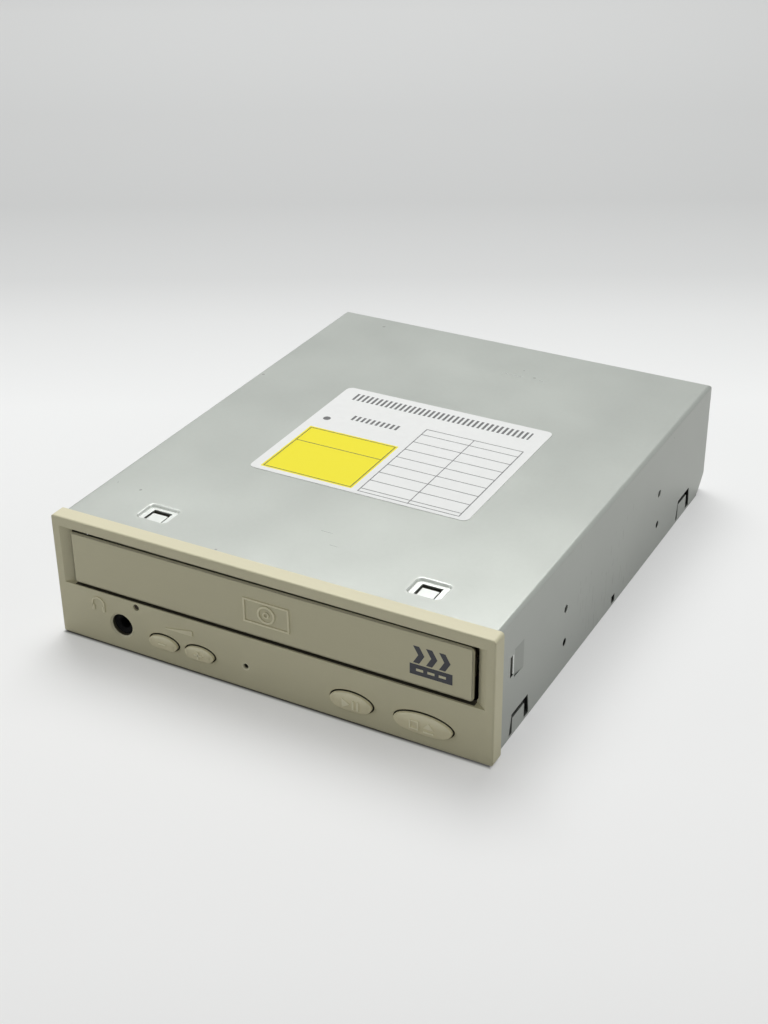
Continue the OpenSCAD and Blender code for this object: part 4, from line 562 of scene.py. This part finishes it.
def raise_up(piece, material, body, height, edge=0.0, copies=()):
    """Gives the edited outline its height towards the front, with softened edges, and makes its copies
    at these steps to the right."""
    bpy.ops.object.mode_set(mode="OBJECT")
    solid = piece.modifiers.new("height", "SOLIDIFY")
    solid.thickness = height
    solid.offset = 1
    bpy.ops.object.modifier_apply(modifier="height")
    if edge:
        soft = piece.modifiers.new("edges", "BEVEL")
        soft.width = edge
        soft.segments = 2
        bpy.ops.object.modifier_apply(modifier="edges")
    bpy.ops.object.shade_smooth_by_angle(angle=math.radians(35))
    piece.data.materials.append(material)
    made = [piece]
    for step in copies:
        bpy.ops.object.select_all(action="DESELECT")
        piece.select_set(True)
        bpy.context.view_layer.objects.active = piece
        bpy.ops.object.duplicate()
        made.append(bpy.context.active_object)
        bpy.ops.object.mode_set(mode="EDIT")
        bpy.ops.mesh.select_all(action="SELECT")
        bpy.ops.transform.translate(value=(step, 0, 0))
        bpy.ops.object.mode_set(mode="OBJECT")
    for one in made:
        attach(one, body)


stroke_height = 0.0004
emblem_x, emblem_z, emblem_edge = 0.0017, 0.0284, 0.00008
for name, wide, tall, line, corners in (("front_emblem", 0.0156, 0.0082, 0.0006, 0),
                                        ("front_ring", 0.0060, 0.0060, 0.0007, 48),
                                        ("front_hub", 0.0022, 0.0022, 0.0005, 32)):
    emblem = start_flat(name, emblem_x, emblem_z, tray_face, wide, tall, corners)
    hollow(line)
    raise_up(emblem, stroke, "tray", stroke_height, emblem_edge)
ink = moulding("grey_ink", (0.062, 0.064, 0.078), rough=0.5, grain=2600, depth=0.00002, spread=0.08)
ink_height, dash_height = 0.00003, 0.00002
print_z, chevron_z = 0.0252, 0.0316
chevron_tall, chevron_lean, chevron_step = 0.0028, 0.0016, 0.0040
chevron = start_flat("front_chevron", x=0.0502, z=chevron_z, face=tray_face, wide=0.0019, tall=chevron_tall)
choose(chevron, lambda point: point.z < chevron_z)
bpy.ops.transform.translate(value=(chevron_lean, 0, 0))
bpy.ops.mesh.extrude_edges_move(TRANSFORM_OT_translate={"value": (-chevron_lean, 0, -chevron_tall)})
raise_up(chevron, ink, "tray", ink_height,
         copies=(chevron_step, 2 * chevron_step))
strip = start_flat("front_strip", x=0.0548, z=print_z, face=tray_face, wide=0.0132, tall=0.0035)
raise_up(strip, ink, "tray", ink_height)
dash_step = 0.0035
dash = start_flat("front_dash", x=0.0513, z=print_z, face=tray_face - ink_height, wide=0.0022, tall=0.0008)
raise_up(dash, beige, "tray", dash_height,
         copies=(dash_step, 2 * dash_step))

# Clamp. A bridge of plated strip carries a loose white puck with a steel yoke, which presses the disc
# on the turntable.
paint(deck_steel, "clamp_bridge")
dress("clamp_puck", gear_finish, edge=0.0002)
dress("clamp_yoke", can_finish, edge=0.00012)

# Front board pieces. Four push switches, the black headphone socket and the tinted lens of the lamp
# stand on the front board; the socket and the lamp reach through the bezel.
dress("button_switches", black_moulding, edge=0.00012)
socket_plastic = moulding("socket_plastic", (0.003, 0.003, 0.0035),
                          rough=0.75, grain=1300, depth=0.00008, spread=0.2, shine=0.15)
dress("headphone_jack", socket_plastic, edge=0.0002)
lamp_finish, shader, place = start_material("lamp_lens", {
    "Transmission Weight": 0.2, "IOR": 1.49, "Roughness": 0.32, "Specular IOR Level": 0.2})
colour = noise(place, scale=400, detail=2).mix((0.036, 0.026, 0.014), (0.060, 0.044, 0.024))
colour.feed(shader, "Base Color")
dress("activity_lamp", lamp_finish, edge=0.0002)

# Bezel. An injection moulding in warm ivory plastic with rounded edges, snapped on the front of the
# case; painted shade darkens the plastic inside its openings and behind them.
bezel_plastic = moulding("bezel_plastic", beige_tone,
                         rough=0.50, grain=2200, depth=0.00012, spread=0.035)
shader, plain, x, y, z = repaint(bezel_plastic)
inner_x, inner_low, inner_high = 0.0724, 0.0016, 0.0404
slot_x, slot_low = 0.0680, 0.0184
shade_start, low_lead, slot_lead, back_start = 0.0023, 0.0016, 0.0018, 0.0056
shaded_tone = (0.03, 0.026, 0.018)
rim_highlight_tone = (0.90, 0.86, 0.70)
rim_width, rim_depth = 0.0006, 0.0005
depth = y - bezel_face
inner = (abs(x) < inner_x) * z.within(inner_low, inner_high)
lead = (z < slot_low) * low_lead + (z > slot_low) * (abs(x) < slot_x) * slot_lead
shaded = (inner * (depth + lead > shade_start)).math("MAXIMUM", depth > back_start)
lighting_painted = (shaded * 0.92).mix(plain, shaded_tone)
# A lighter ring round the socket and the pinhole is a painted highlight on their edges.
round_holes = ((-0.0513, 0.0086, 0.0034), (-0.0064, 0.0080, 0.0008))
for centre_x, centre_z, hole in round_holes:
    off = ((x - centre_x) ** 2 + (z - centre_z) ** 2) ** 0.5
    rim = off.within(hole, hole + rim_width) * (depth < rim_depth)
    lighting_painted = (rim * 0.5).mix(lighting_painted, rim_highlight_tone)
lighting_painted.feed(shader, "Base Color")
hair = 0.00001


def hole_rim(point):
    return point.y < bezel_face + hair and any(
        math.hypot(point.x - centre_x, point.z - centre_z) < hole + rim_width
        for centre_x, centre_z, hole in round_holes)


dress("bezel", bezel_plastic, edge=0.00015, wide=0.00035, chosen=hole_rim)

# Icons on the bezel. A headphone and a rising wedge stand 0.4 mm proud of the moulding, beside the
# socket and above the volume keys; they are part of the same shot of plastic, in a lighter tone that is a
# painted highlight.
icon_edge = 0.0001
cup_step, band_foot = 0.0039, 0.0132
band = start_flat("headphone_icon", x=-0.0593, z=0.0142, face=bezel_face,
                  wide=0.0050, tall=0.0052, corners=40)
hollow(rim=0.0006)
bpy.ops.mesh.select_all(action="SELECT")
bpy.ops.mesh.bisect(plane_co=(0, 0, band_foot), plane_no=(0, 0, 1), clear_inner=True)
raise_up(band, stroke, "drive", stroke_height, icon_edge)
cup = start_flat("headphone_cup", x=-0.06125, z=0.0128, face=bezel_face, wide=0.0010, tall=0.0021)
bpy.ops.mesh.bevel(offset=0.0003, segments=3, affect="VERTICES")
raise_up(cup, stroke, "drive", stroke_height, icon_edge, (cup_step,))
wedge_x, wedge_z, wedge_wide, wedge_tall, wedge_point = -0.0296, 0.01395, 0.0098, 0.0019, 0.1
wedge = start_flat("volume_wedge", x=wedge_x, z=wedge_z, face=bezel_face, wide=wedge_wide, tall=wedge_tall)
choose(wedge, lambda point: point.x < wedge_x)
bpy.ops.transform.resize(value=(1, 1, wedge_point), center_override=(
    wedge_x - wedge_wide / 2, bezel_face, wedge_z - wedge_tall / 2))
raise_up(wedge, stroke, "drive", stroke_height, icon_edge)

# Buttons. Oval keys in a lighter tone of the same plastic, partly painted light on their crowns; each
# is crowned, with a painted highlight along its upper rim, and has raised icons; they stand in the
# openings with a narrow gap and press the switches behind them.
key_plastic = moulding("key_plastic", (0.78, 0.72, 0.50),
                       rough=0.40, grain=2200, depth=0.00008, spread=0.03)
shader, plain, _, y, z = repaint(key_plastic)
skirt_start, highlight_start, highlight_end = 0.0001, 0.0076, 0.0098
# The skirt behind the bezel's face is painted dark, painted shade in the gap round each key; the upper rim
# is painted lighter, a painted highlight.
sunk = y > bezel_face - skirt_start
painted_rim_highlight = z.ramp(highlight_start, highlight_end)
lighting_painted = (painted_rim_highlight * 0.6).mix(plain, (1.0, 0.95, 0.72))
(sunk * 0.95).mix(lighting_painted, shaded_tone).feed(shader, "Base Color")

# The crowns are cut flatter in the middle, so that the marks on them stay within the crowns' first height.
crown_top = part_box("eject_button")[0].y
crown_height, crown_cut, mark_height, mark_foot = 0.0009, 0.0003, 0.00055, 0.00056
for name in ("volume_down_button", "volume_up_button", "play_button", "eject_button"):
    key = dress(name, key_plastic, edge=0.00015)
    for corner in key.data.vertices:
        below = min(1, (corner.co.y - crown_top) / crown_height)
        corner.co.y += crown_cut * (1 - below) ** 2
key_face = crown_top + mark_foot
# The marks are a lighter tone of the key plastic: a painted highlight on their raised edges.
mark_plastic = moulding("mark_plastic", (0.90, 0.85, 0.64),
                        rough=0.38, grain=2200, depth=0.00005, spread=0.03)


def triangle(name, body, x, z, wide, tall, turn=0.0):
    """A raised triangle on a key; it points up, or to the right after a quarter turn."""
    piece = start_flat(name, x, z, key_face, wide, tall, 3)
    bpy.ops.transform.rotate(value=turn, orient_axis="Y", center_override=(x, key_face, z))
    raise_up(piece, mark_plastic, body, mark_height, icon_edge)


def bar(name, body, x, z, wide, tall, copies=()):
    """A raised bar on a key."""
    piece = start_flat(name, x, z, key_face, wide, tall)
    raise_up(piece, mark_plastic, body, mark_height, icon_edge, copies)


volume_down_x, volume_up_x, play_x, eject_x = -0.0354, -0.0224, 0.0279, 0.0549
volume_z, play_z = 0.0076, 0.0073
mark_long, mark_line = 0.0028, 0.0006
bar("volume_down_mark", "volume_down", volume_down_x, volume_z, wide=mark_long, tall=mark_line)
bar("volume_up_mark", "volume_up", volume_up_x, volume_z, wide=mark_long, tall=mark_line)
bar("volume_up_cross", "volume_up", volume_up_x, volume_z, wide=mark_line, tall=0.0024)
triangle("play_mark", "play", play_x, play_z, wide=0.0038, tall=0.0034, turn=-math.pi / 2)
bar("play_bar", "play", play_x + 0.0028, play_z, wide=0.0007, tall=0.0030, copies=(0.0015,))
triangle("eject_mark", "eject", eject_x, z=0.0079, wide=0.0038, tall=0.0026)
bar("eject_bar", "eject", eject_x, z=0.0060, wide=0.0032, tall=mark_line)
stop = start_flat("stop_mark", x=0.0503, z=0.0074, face=key_face, wide=0.0030, tall=0.0030)
hollow(rim=0.00045)
raise_up(stop, mark_plastic, "eject", mark_height, icon_edge)

# Top cover. One folded sheet of zinc-plated steel forms the top, both sides and the rear flap; lanced
# tongues, slots and holes are punched before it is folded.
top_steel = zinc_sheet("top_steel", zinc_tone, scratched=1.0)
bezel_rear = bezel_face + 0.0053
pocket_x, pocket_behind = 0.046, 0.0110
pocket_half_x, pocket_half_y, pocket_round = 0.0038, 0.0028, 0.0014
pocket_reach, pocket_front, pocket_back = 0.011, 0.004, 0.019


def pocket_rim(point):
    return (point.z > cover_top - hair and abs(abs(point.x) - pocket_x) < pocket_reach
            and pocket_front < point.y - bezel_rear < pocket_back)


# Painted highlights lighten the slots' cut edges and the latch pockets, painted shade darkens the panels in
# the slots and the strip in front of the pockets, and painted shade fills the punched holes.
shader, plain, x, y, z = repaint(top_steel)
aside = abs(x)
behind = y - bezel_rear
slot_x, slot_low, slot_high = 0.0710, 0.0203, 0.0297
slot_start, panel_start, panel_end = 0.0101, 0.0112, 0.0166
slotted = (aside > slot_x) * z.within(slot_low, slot_high)
cut = slotted * behind.within(slot_start, panel_start)
drawn = slotted * behind.within(panel_start, panel_end)
across = (abs(aside - pocket_x) - pocket_half_x).math("MAXIMUM", 0)
along = (abs(behind - pocket_behind) - pocket_half_y).math("MAXIMUM", 0)
off = (across ** 2 + along ** 2) ** 0.5 - pocket_round
wall_head, wall_foot, wall_half = 0.0001, 0.0014, 0.0006
wall = z.within(cover_top - wall_foot, cover_top - wall_head) * off.within(-wall_half, wall_half)
skin, shoulder_start, shoulder_end = 0.0002, 0.0003, 0.0014
on_top = z > cover_top - skin
shoulder = on_top * (1 - off.ramp(shoulder_start, shoulder_end)) * (off > -wall_half)
near_end, near_inner, near_outer = 0.0080, -0.0002, 0.0004
near = on_top * (behind < near_end) * off.within(near_inner, near_outer)
sunk_head, sunk_foot, sunk_inset = 0.0005, 0.0012, 0.0004
sunk = z.within(cover_top - sunk_foot, cover_top - sunk_head) * (off < -sunk_inset)
sheet_depth, bore_low, bore_below = 0.0015, 0.0012, 0.003
in_sheet = aside.within(cover_side - sheet_depth, cover_side - skin)
bored = in_sheet * z.within(bore_low, cover_top - bore_below) * (1 - slotted * (behind > slot_start))
highlight_tone = (0.85, 0.87, 0.84)
lighting_painted = (drawn * 0.35 + near * 0.4).mix(plain, (0.20, 0.21, 0.19))
lighting_painted = (bored * 0.9).mix(lighting_painted, (0.02, 0.02, 0.02))
lighting_painted = (cut * 0.75).mix(lighting_painted, highlight_tone)
lighting_painted = (wall * 0.7 + shoulder * 0.1 + sunk * 0.6).mix(lighting_painted, highlight_tone)
lighting_painted.feed(shader, "Base Color")
dress("top_cover", top_steel, edge=0.00012, wide=0.0005, chosen=pocket_rim)

# Label. A coated paper label with rounded corners, stuck on the cover: a yellow field with a thin border
# and one rule, a ruled box, two bands of even stripes and a dot, all printed and without words.
label_wide, label_deep, label_round, label_thick = 0.0773, 0.0659, 0.0022, 0.00012
label_x, label_behind = 0.00035, 0.08235
bpy.ops.object.select_all(action="DESELECT")
bpy.ops.mesh.primitive_plane_add(size=1, location=(label_x, bezel_rear + label_behind, cover_top))
label = bpy.context.active_object
label.name = "label"
label.scale = (label_wide, label_deep, 1)
bpy.ops.object.transform_apply(location=True, rotation=True, scale=True)
bpy.ops.object.mode_set(mode="EDIT")
bpy.ops.mesh.select_all(action="SELECT")
bpy.ops.mesh.bevel(offset=label_round, segments=6, affect="VERTICES")
bpy.ops.object.mode_set(mode="OBJECT")
thick = label.modifiers.new("paper", "SOLIDIFY")
thick.thickness = label_thick
thick.offset = 1
bpy.ops.object.modifier_apply(modifier="paper")
paper, shader, place = start_material("label_paper", {"Specular IOR Level": 0.3})
x = place.axis("X") * 1000
back = (place.axis("Y") - bezel_rear) * 1000


def field(left, right, front, rear):
    """A rectangle on the label, in mm across from the middle and back from the bezel."""
    return x.within(left, right) * back.within(front, rear)


def outline(left, right, front, rear, line):
    inner = field(left + line, right - line, front + line, rear - line)
    return field(left, right, front, rear) - inner


yellow = field(-35, -1.8, 51.5, 83)
border = outline(-34.4, -2.4, 52.1, 82.4, line=0.4) + field(-34.4, -2.4, 72.2, 72.6)
box = (0.5, 35.7, 51, 98.5)
rows_per_mm, row_line, stripes_per_mm = 0.17, 0.06, 0.55
rows = ((back * rows_per_mm).math("FRACT") < row_line) * field(*box)
ruled = rows + outline(*box, line=0.35) + field(17.9, 18.2, *box[2:])
bands = field(-33, 33.4, 106.8, 111.8) + field(-26.2, -7.4, 93.0, 96.4)
stripes = ((x * stripes_per_mm).math("FRACT") < 0.5) * bands
dot_x, dot_back, dot_squared = -33, 90.4, 1.7
dot = ((x - dot_x) ** 2 + (back - dot_back) ** 2) < dot_squared
inked = stripes + ruled + border + dot
fibre = noise(place, scale=420, detail=2)
colour = fibre.mix((0.73, 0.735, 0.73), (0.78, 0.785, 0.78))
colour = yellow.mix(colour, (0.83, 0.73, 0.004))
colour = inked.math("MINIMUM", 0.86).mix(colour, (0.035, 0.036, 0.04))
colour.feed(shader, "Base Color")
(0.42 + fibre * 0.1 - yellow * 0.06).feed(shader, "Roughness")
relief(noise(place, scale=60, detail=2) + fibre * 0.1, shader, strength=0.12, distance=0.0003)
label.data.materials.append(paper)
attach(label, "drive")
